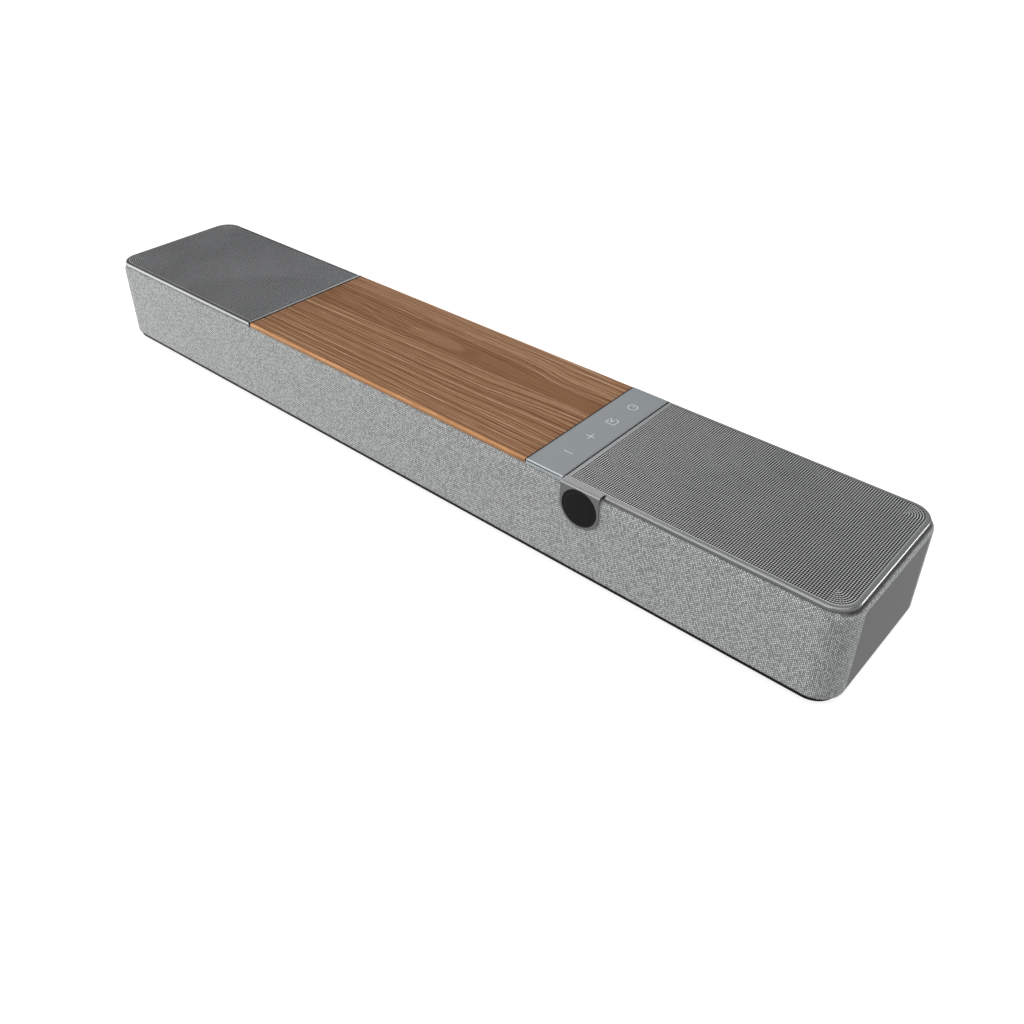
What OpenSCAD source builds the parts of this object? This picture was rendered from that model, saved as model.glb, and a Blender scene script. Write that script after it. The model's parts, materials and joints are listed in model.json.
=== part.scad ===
// Compact soundbar: fabric-wrapped cabinet with two up-firing woofers under
// perforated top grilles, two front drivers, a wood panel and a key strip.
// Millimetres, +Z up, front faces -Y, origin at the bottom centre of the box.

/* [Cabinet] */
// Length over the fabric
len = 714; // [700:1:730]
// Depth over the fabric
dep = 126; // [124:1:132]
// Height of the top face above the floor
top_z = 76; // [76:1:80]
// Plan radius of the fabric corners
fab_r = 17.5; // [16:0.5:18]
// Thickness of the fabric and its backing
fab_t = 1.2; // [1:0.1:1.2]
// Radius of the soft shoulder along the top edge
shoulder_r = 4.5; // [4.5:0.1:4.6]
// Thickness of the cabinet walls
wall_t = 2.95; // [2.5:0.05:2.95]
// Height of the rubber feet
foot_h = 6; // [5:0.5:6]
// Height of the base plate's rim above its underside
rim_h = 2.1; // [1.8:0.1:2.1]
// Inset of the base rim behind the fabric
rim_in = 2.5; // [2:0.1:2.8]
// Drop of the rim's lip below the base plate
rim_drop = 2.5; // [2:0.1:3]

/* [Top panels] */
// Sheet thickness of the metal grilles
sheet_t = 0.9; // [0.7:0.1:0.9]
// Bend radius of the panel edges
edge_r = 1.2; // [1.1:0.1:1.4]
// Depth of the panel skirts below the top face
skirt_h = 3.1; // [2.6:0.1:3.1]
// Plan radius of the grille corners
plate_r = 15.5; // [14:0.5:15.8]
// Left edge of the wood panel
wood_x0 = -162.4; // [-164:0.1:-161]
// Right edge of the wood panel
wood_x1 = 129.3; // [128:0.1:129.3]
// Thickness of the veneer
veneer_t = 0.6; // [0.5:0.1:0.8]
// Left edge of the right grille
grille_x = 161; // [160.9:0.1:161.2]

/* [Badge tab] */
// Width of the folded tab
tab_w = 30.8; // [30:0.1:30.8]
// Distance from the top face down to the disc centre
tab_drop = 15.1; // [14:0.1:17]
// Gap that the tab's outer face stands off the fabric
tab_off = 1; // [1:0.1:1.3]
// Radius of the disc
disc_r = 13.7; // [12:0.1:14]
// Thickness of the disc
disc_t = 0.5; // [0.4:0.1:0.8]

/* [Keys] */
// Distance between neighbouring keys
key_pitch = 24.4; // [24:0.1:24.8]
// Key cap length across the strip
key_w = 26.8; // [24:0.1:26.8]
// Key cap length along the strip
key_d = 21.6; // [20:0.1:21.6]
// Radius of the key stems
stem_r = 3; // [2.5:0.1:3]
// Radius of the guide bores in the key carrier
guide_r = 3.05; // [3.05:0.01:3.1]
// Clearance round each key cap
key_gap = 0.3; // [0.3:0.05:0.3]

/* [Woofers] */
// Distance of each woofer from the middle
woof_x = 259; // [257:1:260]
// Outer radius of the woofer flange
woof_r = 54; // [52:0.5:54]
// Height of the woofer flange face
woof_z = 64.5; // [64:0.1:64.5]

/* [Front drivers] */
// Distance of each front driver from the middle
drv_x = 180; // [178:1:182]
// Height of the front driver axis
drv_z = 34.5; // [34:0.1:35]

/* [Rear] */
// Distance of each wall insert from the middle
insert_x = 200; // [190:1:205]
// Height of the wall inserts
insert_z = 40; // [38:1:42]
// Hole radius of the wall inserts
insert_r = 2.1; // [1.7:0.1:2.5]
// Length of the wall inserts
insert_l = 10; // [8:1:10]
// Half width of the connector recess
rec_w = 85; // [85:1:86]

/* [Hidden] */
$fn = 64;

hx = len / 2;                      // half length over the fabric
hy = dep / 2;                      // half depth over the fabric
yo = (tab_off + disc_t) / 2;       // shifts the box centre onto the origin
z0 = foot_h + rim_h + 0.05;        // lower edge of the walls and the fabric
zs = top_z - 3 - shoulder_r;       // start height of the shoulder arc
pi_ = 0.05;                        // small clearance between resting faces
wall_out = fab_t + pi_;            // inset of the wall's outer face
cap_x = hx - fab_r - 5;            // where the end caps meet baffle and cover
px = hx - 1.7;                     // half length of the grille outline
py = hy - 2.5;                     // half depth of the panel outline
under = top_z - sheet_t;           // underside of the grille sheet
strip_x0 = wood_x1 + 0.65;         // control strip, left edge
strip_x1 = grille_x - 0.8;         // control strip, right edge
key_x = (strip_x0 + strip_x1) / 2;
key_y = 0.35;                      // middle of the four keys
deck_hx = hx - 4.8;
deck_hy = hy - 4.8;
rec_z0 = 14;                       // connector recess, lowest point
rec_z1 = 46;                       // connector recess, highest point
io_y = 41;                         // back face of the connector plate
io_t = 2;                          // thickness of the connector plate
jack_z = 27.6;
board_z = 21;                      // underside of the circuit boards
board_t = 1.6;
baf_y = -57;                       // front face of the front driver flanges

module at() translate([0, yo, 0]) children();
module box(x0, x1, y0, y1, za, zb) translate([x0, y0, za]) cube([x1 - x0, y1 - y0, zb - za]);
module flip(side) { if (side < 0) mirror([1, 0, 0]) children(); else children(); }

// Rounded rectangle as a true-arc outline
module rrect(ax, ay, r) {
  translate([-ax + r, -ay]) square([2 * (ax - r), 2 * ay]);
  translate([-ax, -ay + r]) square([2 * ax, 2 * (ay - r)]);
  for (sx = [-1, 1], sy = [-1, 1]) translate([sx * (ax - r), sy * (ay - r)]) circle(r);
}

// Straight runs and corners of a profile whose x is the distance outwards
// from the corner centres and whose y is the height
module run_front(ay, r, xa, xb) translate([xb, -(ay - r), 0]) rotate([90, 0, -90]) linear_extrude(xb - xa) children();
module run_back(ay, r, xa, xb) translate([xa, ay - r, 0]) rotate([90, 0, 90]) linear_extrude(xb - xa) children();
module run_right(ax, r, ya, yb) translate([ax - r, yb, 0]) rotate([90, 0, 0]) linear_extrude(yb - ya) children();
module turn(ax, ay, r, sy) translate([ax - r, sy * (ay - r), 0]) rotate([0, 0, sy < 0 ? -90 : 0]) rotate_extrude(angle = 90, $fn = 96) children();

// A right-hand end: front run, corner, side, corner, back run
module end_sweep(ax, ay, r, xa, xb) {
  run_front(ay, r, xa, ax - r) children();
  turn(ax, ay, r, -1) children();
  run_right(ax, r, -(ay - r), ay - r) children();
  turn(ax, ay, r, 1) children();
  run_back(ay, r, xb, ax - r) children();
}

module fabric_profile() {
  translate([fab_r - fab_t, z0]) square([fab_t, zs - z0]);
  translate([fab_r - shoulder_r, zs]) intersection() {
    difference() { circle(shoulder_r); circle(shoulder_r - fab_t); }
    square(shoulder_r + 1);
  }
}
module wall_profile() {
  w1 = fab_r - wall_out;
  translate([w1 - wall_t, z0]) square([wall_t, zs - z0]);
  translate([fab_r - shoulder_r, zs]) intersection() {
    circle(shoulder_r - wall_out);
    translate([w1 - wall_t - (fab_r - shoulder_r), 0]) square([wall_t, shoulder_r]);
  }
}
module cover_profile() {
  translate([fab_r - 3, z0]) square([3, zs - z0]);
  translate([fab_r - shoulder_r, zs]) intersection() {
    difference() { circle(shoulder_r); circle(shoulder_r - 3); }
    square(shoulder_r + 1);
  }
}
module skirt_profile(r) {
  translate([r - sheet_t, top_z - skirt_h]) square([sheet_t, skirt_h - edge_r]);
  translate([r - edge_r, top_z - edge_r]) intersection() {
    difference() { circle(edge_r); circle(edge_r - sheet_t); }
    square(edge_r + 1);
  }
}

// ---- cabinet ----
module front_baffle() color([0.12, 0.12, 0.13]) at() difference() {
  union() {
    run_front(hy, fab_r, -cap_x + 0.1, cap_x - 0.1) wall_profile();
    for (s = [-1, 1]) translate([s * drv_x, -hy + wall_out, drv_z]) rotate([-90, 0, 0]) cylinder(r = 24.3, h = 9);
  }
  for (s = [-1, 1]) translate([s * drv_x, -hy - 1, drv_z]) rotate([-90, 0, 0]) {
    cylinder(r = 21.3, h = 20);
    cylinder(r = 23.1, h = 1 + hy + baf_y + 2.2);
  }
}
module end_cap() difference() {
  end_sweep(hx, hy, fab_r, cap_x, cap_x) wall_profile();
}
module end_cap_left() color([0.12, 0.12, 0.13]) at() mirror([1, 0, 0]) end_cap();
module end_cap_right() color([0.12, 0.12, 0.13]) at() end_cap();
module rear_cover() color([0.09, 0.09, 0.1]) at() difference() {
  union() {
    run_back(hy, fab_r, -cap_x + 0.3, cap_x - 0.3) cover_profile();
    box(-rec_w - 2, rec_w + 2, io_y + io_t, hy - 2.9, rec_z0 - 2, rec_z1 + 2);
    for (s = [-1, 1]) translate([s * insert_x, hy - insert_l - 2, insert_z]) rotate([-90, 0, 0]) cylinder(r = 7, h = insert_l);
  }
  box(-rec_w, rec_w, io_y, hy + 1, rec_z0, rec_z1);
  for (s = [-1, 1]) translate([s * insert_x, hy - insert_l, insert_z]) rotate([-90, 0, 0]) cylinder(r = 4, h = insert_l + 1);
  // shallow grooves that break up the rear face
  for (s = [-1, 1], k = [0:4]) box(s < 0 ? -300 : 130, s < 0 ? -130 : 300, hy - 0.8, hy + 1, 52 + 3 * k, 53.2 + 3 * k);
}
post_xy = [[-335, -50], [-335, 50], [335, -50], [335, 50], [-160, 50], [160, 50], [-142, -53], [142, -53], [0, -53], [-100, 53], [100, 53]];
module top_deck() color([0.1, 0.1, 0.11]) at() difference() {
  union() {
    translate([0, 0, 59]) linear_extrude(3) rrect(deck_hx, deck_hy, fab_r - 4.8);
    difference() {
      translate([0, 0, 61.9]) linear_extrude(under - pi_ - 61.9) difference() {
        rrect(deck_hx, deck_hy, fab_r - 4.8);
        rrect(deck_hx - 2.5, deck_hy - 2.5, fab_r - 7.3);
      }
      box(-163.1, grille_x - 0.1, -hy, hy, 68, 80);
    }
    for (x = [-166, grille_x + 0.6]) box(x, x + 2.3, -deck_hy + 1, deck_hy - 1, 61.9, under - pi_);
    box(-160.6, 127.5, -deck_hy + 1, deck_hy - 1, 65, 68);
    for (x = [-160.6, -16.5, 125]) box(x, x + 2.5, -deck_hy + 1, deck_hy - 1, 61.9, 65.1);
    for (y = [-30, 28]) box(-160.5, 127.4, y, y + 2, 61.9, 65.1);
    for (x = [133, 155], y = [-46, 44]) box(x, x + 3, y, y + 3, 61.9, 66.35);
    for (p = post_xy) translate([p[0], p[1], foot_h + 4.1]) cylinder(r = 4, h = 59.1 - foot_h - 4.1);
  }
  for (s = [-1, 1]) translate([s * woof_x, 0, 50]) cylinder(r = 48.4, h = 20);
  // windows that open the ribbed middle of the deck from below
  for (w = [[-140, -84], [-78, -20], [-10, 50], [56, 120]], v = [[-48, -31], [-27, 27], [31, 48]]) box(w[0], w[1], v[0], v[1], 58, 63);
  for (s = [-1, 1], a = [45:90:315]) translate([s * woof_x + 51.4 * cos(a), 51.4 * sin(a), 50]) cylinder(r = 1.4, h = 20);
  for (p = post_xy) translate([p[0], p[1], 0]) cylinder(r = 1.3, h = 26);
}
module base_plate() color([0.04, 0.04, 0.045]) at() difference() {
  union() {
    translate([0, 0, foot_h]) linear_extrude(rim_h) rrect(hx - rim_in, hy - rim_in, fab_r - rim_in);
    translate([0, 0, foot_h - rim_drop]) linear_extrude(rim_drop + 0.1) difference() {
      rrect(hx - rim_in, hy - rim_in, fab_r - rim_in);
      rrect(hx - rim_in - 2.5, hy - rim_in - 2.5, fab_r - rim_in - 2.5);
    }
    translate([0, 0, foot_h + rim_h - 0.1]) linear_extrude(4 - rim_h + 0.1) rrect(hx - 4.4, hy - 4.4, fab_r - 4.4);
    for (p = [[-82, -42], [32, -42], [-82, 20], [32, 20], [54, -40], [126, -40], [54, 8], [126, 8]])
      translate([p[0], p[1], foot_h + 3.9]) cylinder(r = 3, h = board_z - foot_h - 3.9 - pi_);
  }
  for (p = post_xy) translate([p[0], p[1], 0]) { cylinder(r = 1.7, h = 20); cylinder(r = 3.4, h = foot_h + 2.2); }
  for (x = [-300, 300], y = [-42, 42]) translate([x, y, 0]) cylinder(r = 9.2, h = foot_h + 1);
  // long cooling slots under the boards
  for (k = [-4:4], y = [-28, 4]) translate([k * 11 - 20, y, 0]) hull_slot(4, 22);
}
module hull_slot(w, l) translate([0, 0, foot_h - 1]) {
  translate([-w / 2, 0, 0]) cube([w, l - w, 8]);
  for (y = [0, l - w]) translate([0, y, 0]) cylinder(r = w / 2, h = 8);
}
module bulkhead(s) color([0.12, 0.12, 0.13]) at() flip(s) difference() {
  box(148, 151, -58.5, 58.5, foot_h + 4.1, 58.9);
  translate([140, 0, 40]) rotate([0, 90, 0]) cylinder(r = 5, h = 20);
}
module bulkhead_left() bulkhead(-1);
module bulkhead_right() bulkhead(1);
module feet() color([0.05, 0.05, 0.05]) at()
  for (x = [-300, 300], y = [-42, 42]) translate([x, y, 0]) rotate_extrude() {
    polygon([[0, 0], [7.6, 0], [8.4, 0.8], [9, foot_h - 0.4], [9, foot_h + 0.95], [0, foot_h + 0.95]]);
  }
module fabric_sleeve() color([0.66, 0.67, 0.66]) at() {
  end_sweep(hx, hy, fab_r, 0, cap_x) fabric_profile();
  mirror([1, 0, 0]) end_sweep(hx, hy, fab_r, 0, cap_x) fabric_profile();
}

// ---- top panels ----
module grille(x0, xs) {
  // flat sheet
  translate([0, 0, under]) linear_extrude(sheet_t) intersection() {
    rrect(px - edge_r, py - edge_r, plate_r - edge_r);
    translate([x0, -100]) square([400, 200]);
  }
  run_front(py, plate_r, xs, px - plate_r) skirt_profile(plate_r);
  turn(px, py, plate_r, -1) skirt_profile(plate_r);
  run_right(px, plate_r, -(py - plate_r), py - plate_r) skirt_profile(plate_r);
  turn(px, py, plate_r, 1) skirt_profile(plate_r);
  run_back(py, plate_r, x0, px - plate_r) skirt_profile(plate_r);
}
module grille_left() color([0.38, 0.38, 0.38]) at() mirror([1, 0, 0]) grille(163.2, 163.2);
tab_r = edge_r + 0.5;
module grille_right() color([0.48, 0.48, 0.48]) at() {
  tx0 = grille_x + 0.2;
  tx1 = tx0 + tab_w;
  difference() {
    union() {
      grille(grille_x, tx1 + 1.5);
      box(tx0, tx1, -hy - tab_off + tab_r, -py + edge_r + 0.1, under, top_z);
    }
    box(tx1, tx1 + 1.6, -70, -58.4, 60, 80);
  }
  // bend of the tab
  translate([tx0, -hy - tab_off + tab_r, top_z - tab_r]) rotate([0, 90, 0]) rotate([0, 0, 180]) rotate_extrude_quarter(tab_w);
  // hanging part of the tab with a half-round end
  translate([0, -hy - tab_off + sheet_t, 0]) rotate([90, 0, 0]) linear_extrude(sheet_t) {
    translate([tx0, top_z - tab_drop]) square([tab_w, tab_drop - tab_r]);
    intersection() {
      translate([tx0 + tab_w / 2, top_z - tab_drop]) circle(tab_w / 2);
      translate([tx0, top_z - tab_drop - tab_w]) square([tab_w, tab_w + 1]);
    }
  }
}
// Quarter tube of length l along +Z, open between +X and +Y
module rotate_extrude_quarter(l) linear_extrude(l) intersection() {
  difference() { circle(tab_r); circle(tab_r - sheet_t); }
  square(tab_r + 1);
}
module grille_liners() color([0.02, 0.02, 0.02]) at() {
  translate([0, 0, under - 0.6]) linear_extrude(0.6) {
    intersection() { rrect(deck_hx - 2.9, deck_hy - 2.9, fab_r - 7.7); translate([-400, -60]) square([400 - 166.3, 120]); }
    intersection() { rrect(deck_hx - 2.9, deck_hy - 2.9, fab_r - 7.7); translate([grille_x + 3.2, -60]) square([300, 120]); }
  }
}
module wood_profile(inset) {
  r = 1.4 - inset;
  y1 = py + 0.2 - inset;
  z1 = top_z - inset;
  difference() {
    union() {
      translate([-y1 + r, top_z - skirt_h]) square([2 * (y1 - r), z1 - top_z + skirt_h]);
      translate([-y1, top_z - skirt_h]) square([2 * y1, z1 - r - top_z + skirt_h]);
      for (s = [-1, 1]) translate([s * (y1 - r), z1 - r]) circle(r);
    }
  }
}
module wood_veneer() color([0.5, 0.34, 0.24]) at()
  translate([wood_x0, 0, 0]) rotate([90, 0, 90]) linear_extrude(wood_x1 - wood_x0) difference() {
    wood_profile(0);
    wood_profile(veneer_t);
    translate([-py + 1, 0]) square([2 * py - 2, top_z - veneer_t]);
  }
module wood_core() color([0.62, 0.5, 0.36]) at() difference() {
  union() {
    translate([wood_x0 + 0.1, 0, 0]) rotate([90, 0, 90]) linear_extrude(wood_x1 - wood_x0 - 0.2) difference() {
      wood_profile(veneer_t + 0.02);
      translate([-100, 0]) square([200, top_z - 2.8]);
    }
    box(wood_x0 + 0.1, wood_x1 - 0.1, -deck_hy + 0.4, deck_hy - 0.4, 68.05, top_z - 2.7);
  }
}

// ---- control strip ----
function key_pos(i) = key_y + (i - 1.5) * key_pitch;
module control_overlay() color([0.56, 0.58, 0.59]) at() difference() {
  translate([strip_x0, 0, 0]) rotate([90, 0, 90]) linear_extrude(strip_x1 - strip_x0) union() {
    translate([-py + 0.5, top_z - 0.5]) square([2 * py - 1, 0.5]);
    for (s = [-1, 1]) translate([s * (py - 0.5), top_z - 0.5]) intersection() { circle(0.5); translate([-0.5, 0]) square([1, 1]); }
  }
  for (i = [0:3]) box(key_x - key_w / 2 - key_gap, key_x + key_w / 2 + key_gap, key_pos(i) - key_d / 2 - key_gap, key_pos(i) + key_d / 2 + key_gap, 70, 80);
}
module key(i) color([0.56, 0.58, 0.59]) at() translate([key_x, key_pos(i), 0]) {
  translate([-key_w / 2, -key_d / 2, top_z - 1.4]) cube([key_w, key_d, 1.4]);
  translate([0, 0, 70.6]) cylinder(r = stem_r, h = top_z - 1 - 70.6);
}
module key_minus() key(0);
module key_plus() key(1);
module key_source() key(2);
module key_power() key(3);
module key_carrier() color([0.52, 0.55, 0.57]) at() difference() {
  union() {
    box(strip_x0 + 0.3, strip_x1 - 0.3, -deck_hy + 0.6, deck_hy - 0.6, 71.4, top_z - 0.55);
    // front lip over the fabric shoulder
    box(strip_x0 + 0.1, strip_x1 - 0.1, -py - 0.5, -deck_hy + 0.7, 73.35, top_z - 0.95);
    box(strip_x0 + 0.1, strip_x1 - 0.1, -py - 0.5, -py + 0.3, top_z - skirt_h, top_z - 0.95);
    for (y = [-55.3, 51.6]) box(strip_x0 + 1, strip_x1 - 1, y, y + 3.7, 62.05, 71.5);
  }
  // one tray for the caps
  box(key_x - key_w / 2 - 0.8, key_x + key_w / 2 + 0.8, key_pos(0) - key_d / 2 - 0.8, key_pos(3) + key_d / 2 + 0.8, 73.6, 80);
  for (i = [0:3]) translate([key_x, key_pos(i), 60]) cylinder(r = guide_r, h = 20);
  // seat of the light bar
  box(strip_x0 + 1.55, strip_x1 - 2.15, -py - 1, -57.3, top_z - 0.95, top_z);
}
module control_board() color([0.1, 0.32, 0.2]) at() union() {
  box(strip_x0 + 1.5, strip_x1 - 1.5, -50, 50, 66.4, 68);
  box(strip_x0 + 6, strip_x0 + 12, -49, -43, 67.9, 69);
  box(strip_x0 + 16, strip_x0 + 24, 43.5, 49, 67.9, 70.4);
}
module tact_switches() color([0.75, 0.75, 0.76]) at() for (i = [0:3]) translate([key_x, key_pos(i), 68.05]) {
  translate([-3, -3, 0]) cube([6, 6, 1.5]);
  cylinder(r = 1.7, h = 1.85);
}
module light_bar() color([0.08, 0.08, 0.09]) at()
  box(strip_x0 + 1.65, strip_x1 - 2.25, -py + 0.1, -57.4, top_z - 0.9, top_z - 0.55);
module badge_disc() color([0.05, 0.05, 0.05]) at()
  translate([grille_x + 0.2 + tab_w / 2, -hy - tab_off, top_z - tab_drop]) rotate([90, 0, 0]) cylinder(r = disc_r, h = disc_t);

// ---- woofers: axis along +Z, flange face at 0 ----
module w_at(s) at() translate([s * woof_x, 0, woof_z]) children();
module w_basket(s) color([0.16, 0.16, 0.17]) w_at(s) difference() {
  rotate_extrude($fn = 96) polygon([[46, 0], [woof_r, 0], [woof_r, -2.45], [48, -2.45], [33, -26], [33, -28], [14.5, -28], [14.5, -26.2], [31.2, -26.2], [46, -3.2]]);
  for (a = [0:90:270]) rotate([0, 0, a]) translate([28, -9, -24]) cube([24, 18, 17]);
  for (a = [45:90:315]) rotate([0, 0, a]) translate([51.4, 0, -5]) cylinder(r = 1.6, h = 10);
}
module w_motor(s) color([0.3, 0.3, 0.32]) w_at(s) {
  rotate_extrude($fn = 96) polygon([[13.9, -28.05], [30, -28.05], [30, -32], [13.9, -32]]);
  rotate_extrude($fn = 96) polygon([[19, -32.02], [35, -32.02], [35, -42], [19, -42]]);
  rotate_extrude($fn = 96) polygon([[0, -28.05], [12, -28.05], [12, -42.02], [32, -42.02], [32, -46], [0, -46]]);
}
module w_cone(s) color([0.08, 0.08, 0.08]) w_at(s)
  rotate_extrude($fn = 96) polygon([[41.2, -0.02], [42.1, -0.02], [42.1, -1.2], [14.4, -17], [13.35, -17], [13.35, -16.2], [41.2, -0.9]]);
module w_dust_cap(s) color([0.07, 0.07, 0.07]) w_at(s) rotate_extrude() difference() {
  intersection() { translate([0, -28.8]) circle(20.6); translate([0, -15.05]) square([15.3, 10]); }
  translate([0, -28.8]) circle(19.9);
}
module w_coil(s) color([0.72, 0.45, 0.2]) w_at(s)
  rotate_extrude() polygon([[12.5, -17], [13.3, -17], [13.3, -27], [13.55, -27.2], [13.55, -35], [12.5, -35]]);
module w_surround(s) color([0.04, 0.04, 0.04]) w_at(s) rotate_extrude($fn = 96) union() {
  translate([45.2, 0.05]) intersection() { difference() { circle(3.2); circle(2.5); } translate([-5, 0]) square([10, 5]); }
  translate([48, 0.05]) square([1.4, 0.7]);
  translate([41.3, 0.05]) square([1.1, 0.6]);
}
module w_spider(s) color([0.75, 0.6, 0.35]) w_at(s) rotate_extrude() union() {
  translate([13.7, -24.3]) square([2, 0.5]);
  for (k = [0:4]) translate([17 + 2.5 * k, -24.3]) intersection() {
    difference() { circle(1.5); circle(1); }
    translate([-2, k % 2 == 0 ? 0 : -2]) square([4, 2]);
  }
  translate([28, -24.3]) square([3.1, 0.5]);
}
module woofer_left_basket() w_basket(-1);
module woofer_left_motor() w_motor(-1);
module woofer_left_cone() w_cone(-1);
module woofer_left_dust_cap() w_dust_cap(-1);
module woofer_left_coil() w_coil(-1);
module woofer_left_surround() w_surround(-1);
module woofer_left_spider() w_spider(-1);
module woofer_right_basket() w_basket(1);
module woofer_right_motor() w_motor(1);
module woofer_right_cone() w_cone(1);
module woofer_right_dust_cap() w_dust_cap(1);
module woofer_right_coil() w_coil(1);
module woofer_right_surround() w_surround(1);
module woofer_right_spider() w_spider(1);
module woofer_screws() color([0.2, 0.2, 0.2]) at()
  for (s = [-1, 1], a = [45:90:315]) translate([s * woof_x + 51.4 * cos(a), 51.4 * sin(a), 0]) {
    translate([0, 0, woof_z + 0.02]) rotate_extrude() polygon([[0, 0], [1.9, 0], [1.9, 0.7], [1.3, 1.4], [0, 1.4]]);
    translate([0, 0, 58]) cylinder(r = 1.35, h = woof_z + 0.1 - 58);
  }

// ---- front drivers: local +Z is out of the front, flange face at 0 ----
module d_at(s) at() translate([s * drv_x, baf_y, drv_z]) rotate([90, 0, 0]) children();
module d_basket(s) color([0.16, 0.16, 0.17]) d_at(s) difference() {
  rotate_extrude() polygon([[19.6, 0], [23, 0], [23, -2.1], [21.1, -2.1], [14.6, -15], [14.6, -17], [7.6, -17], [7.6, -15.6], [13.5, -15.6], [19.6, -3]]);
  for (a = [0:90:270]) rotate([0, 0, a]) translate([12, -4, -14]) cube([12, 8, 9]);
}
module d_motor(s) color([0.3, 0.3, 0.32]) d_at(s) {
  rotate_extrude() polygon([[7.2, -17.05], [14, -17.05], [14, -19], [7.2, -19]]);
  rotate_extrude() polygon([[9.5, -19.02], [15.5, -19.02], [15.5, -26], [9.5, -26]]);
  rotate_extrude() polygon([[0, -17.05], [6, -17.05], [6, -26.02], [14.5, -26.02], [14.5, -29], [0, -29]]);
}
module d_diaphragm(s) color([0.7, 0.71, 0.72]) d_at(s) {
  rotate_extrude() polygon([[16.4, -0.02], [17.4, -0.02], [17.4, -0.8], [7.6, -7], [6.6, -7], [6.6, -6.3], [16.4, -0.6]]);
  rotate_extrude() difference() {
    intersection() { translate([0, -13.6]) circle(10); translate([0, -6.9]) square([7.3, 8]); }
    translate([0, -13.6]) circle(9.4);
  }
}
module d_coil(s) color([0.72, 0.45, 0.2]) d_at(s)
  rotate_extrude() polygon([[6.3, -7.05], [6.8, -7.05], [6.8, -21], [6.3, -21]]);
module d_surround(s) color([0.04, 0.04, 0.04]) d_at(s) rotate_extrude() union() {
  translate([19, 0.05]) intersection() { difference() { circle(1.7); circle(1.1); } translate([-3, 0]) square([6, 3]); }
  translate([20.4, 0.05]) square([1.8, 0.5]);
  translate([16.5, 0.05]) square([1, 0.45]);
}
module driver_left_basket() d_basket(-1);
module driver_left_motor() d_motor(-1);
module driver_left_diaphragm() d_diaphragm(-1);
module driver_left_coil() d_coil(-1);
module driver_left_surround() d_surround(-1);
module driver_right_basket() d_basket(1);
module driver_right_motor() d_motor(1);
module driver_right_diaphragm() d_diaphragm(1);
module driver_right_coil() d_coil(1);
module driver_right_surround() d_surround(1);

// ---- electronics ----
bz = board_z + board_t;
module main_board() color([0.1, 0.32, 0.2]) at() union() {
  box(-90, 40, -48, 38, board_z, bz);
  for (c = [[-60, 14, 14, 14, 1.6], [-20, 16, 11, 11, 1.2], [4, -30, 18, 9, 2.4], [-12, -8, 9, 9, 1.2], [16, 2, 12, 12, 3]])
    box(c[0], c[0] + c[2], c[1], c[1] + c[3], bz - 0.1, bz + c[4]);
  for (k = [0:3]) translate([-70 + 13 * k, -40, bz - 0.1]) cylinder(r = 4, h = 12);
  for (k = [0:3]) translate([-16 + 10 * k, -42, bz - 0.1]) rotate([0, 0, 0]) translate([-3.5, -3, 0]) cube([7, 7, 6]);
}
module heat_sink() color([0.6, 0.61, 0.62]) at() union() {
  box(-72, -28, -31, 9, bz + pi_, bz + 4);
  for (k = [0:7]) box(-72 + 6.06 * k, -70.4 + 6.06 * k, -31, 9, bz + 3.9, bz + 18);
}
module power_board() color([0.12, 0.34, 0.22]) at() union() {
  box(46, 136, -48, 19, board_z, bz);
  box(52, 78, -34, -8, bz - 0.1, bz + 21);
  box(54, 76, -37, -5, bz + 5, bz + 16);
  translate([93, -34, bz - 0.1]) cylinder(r = 8, h = 24);
  translate([112, -34, bz - 0.1]) cylinder(r = 6.5, h = 20);
  translate([128, -26, bz - 0.1]) cylinder(r = 5, h = 16);
  box(88, 108, -16, 2, bz - 0.1, bz + 14);
  box(114, 130, -10, 4, bz - 0.1, bz + 9);
}
module connector_plate() color([0.14, 0.14, 0.15]) at() difference() {
  box(-rec_w - 2, rec_w + 2, io_y, io_y + io_t - pi_, rec_z0 - 2, rec_z1 + 2);
  box(47.2, 72.8, io_y - 1, io_y + 3, 19.2, 36.8);
  box(0.2, 15.8, io_y - 1, io_y + 3, 22.4, 28.8);
  box(-28.2, -17.8, io_y - 1, io_y + 3, 22.4, 32.8);
  translate([-52, io_y - 1, jack_z]) rotate([-90, 0, 0]) cylinder(r = 4.4, h = 4);
}
module mains_inlet() color([0.05, 0.05, 0.05]) at() difference() {
  union() {
    box(47.4, 72.6, io_y - 17, io_y + io_t + 0.1, 19.4, 36.6);
    box(44.5, 75.5, io_y + io_t, io_y + io_t + 1.6, 17, 39);
    for (s = [-1, 1]) translate([60 + 4.3 * s, io_y - 12, 28]) rotate([-90, 0, 0]) cylinder(r = 1.2, h = 12);
  }
  difference() {
    union() {
      for (s = [-1, 1]) translate([60 + 4.2 * s, io_y - 10, 28]) rotate([-90, 0, 0]) cylinder(r = 4.3, h = 20);
      box(55.8, 64.2, io_y - 10, io_y + 10, 23.7, 32.3);
    }
    for (s = [-1, 1]) translate([60 + 4.3 * s, io_y - 12, 28]) rotate([-90, 0, 0]) cylinder(r = 1.2, h = 12);
  }
}
module video_socket() color([0.7, 0.7, 0.72]) at() {
  difference() {
    box(0.4, 15.6, io_y - 10, io_y + io_t + 0.6, bz + pi_, 28.6);
    box(0.9, 15.1, io_y - 8, io_y + io_t + 2, 23.4, 28.1);
  }
  box(2.5, 13.5, io_y - 8.1, io_y + 0.6, 25.2, 26.2);
}
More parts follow.
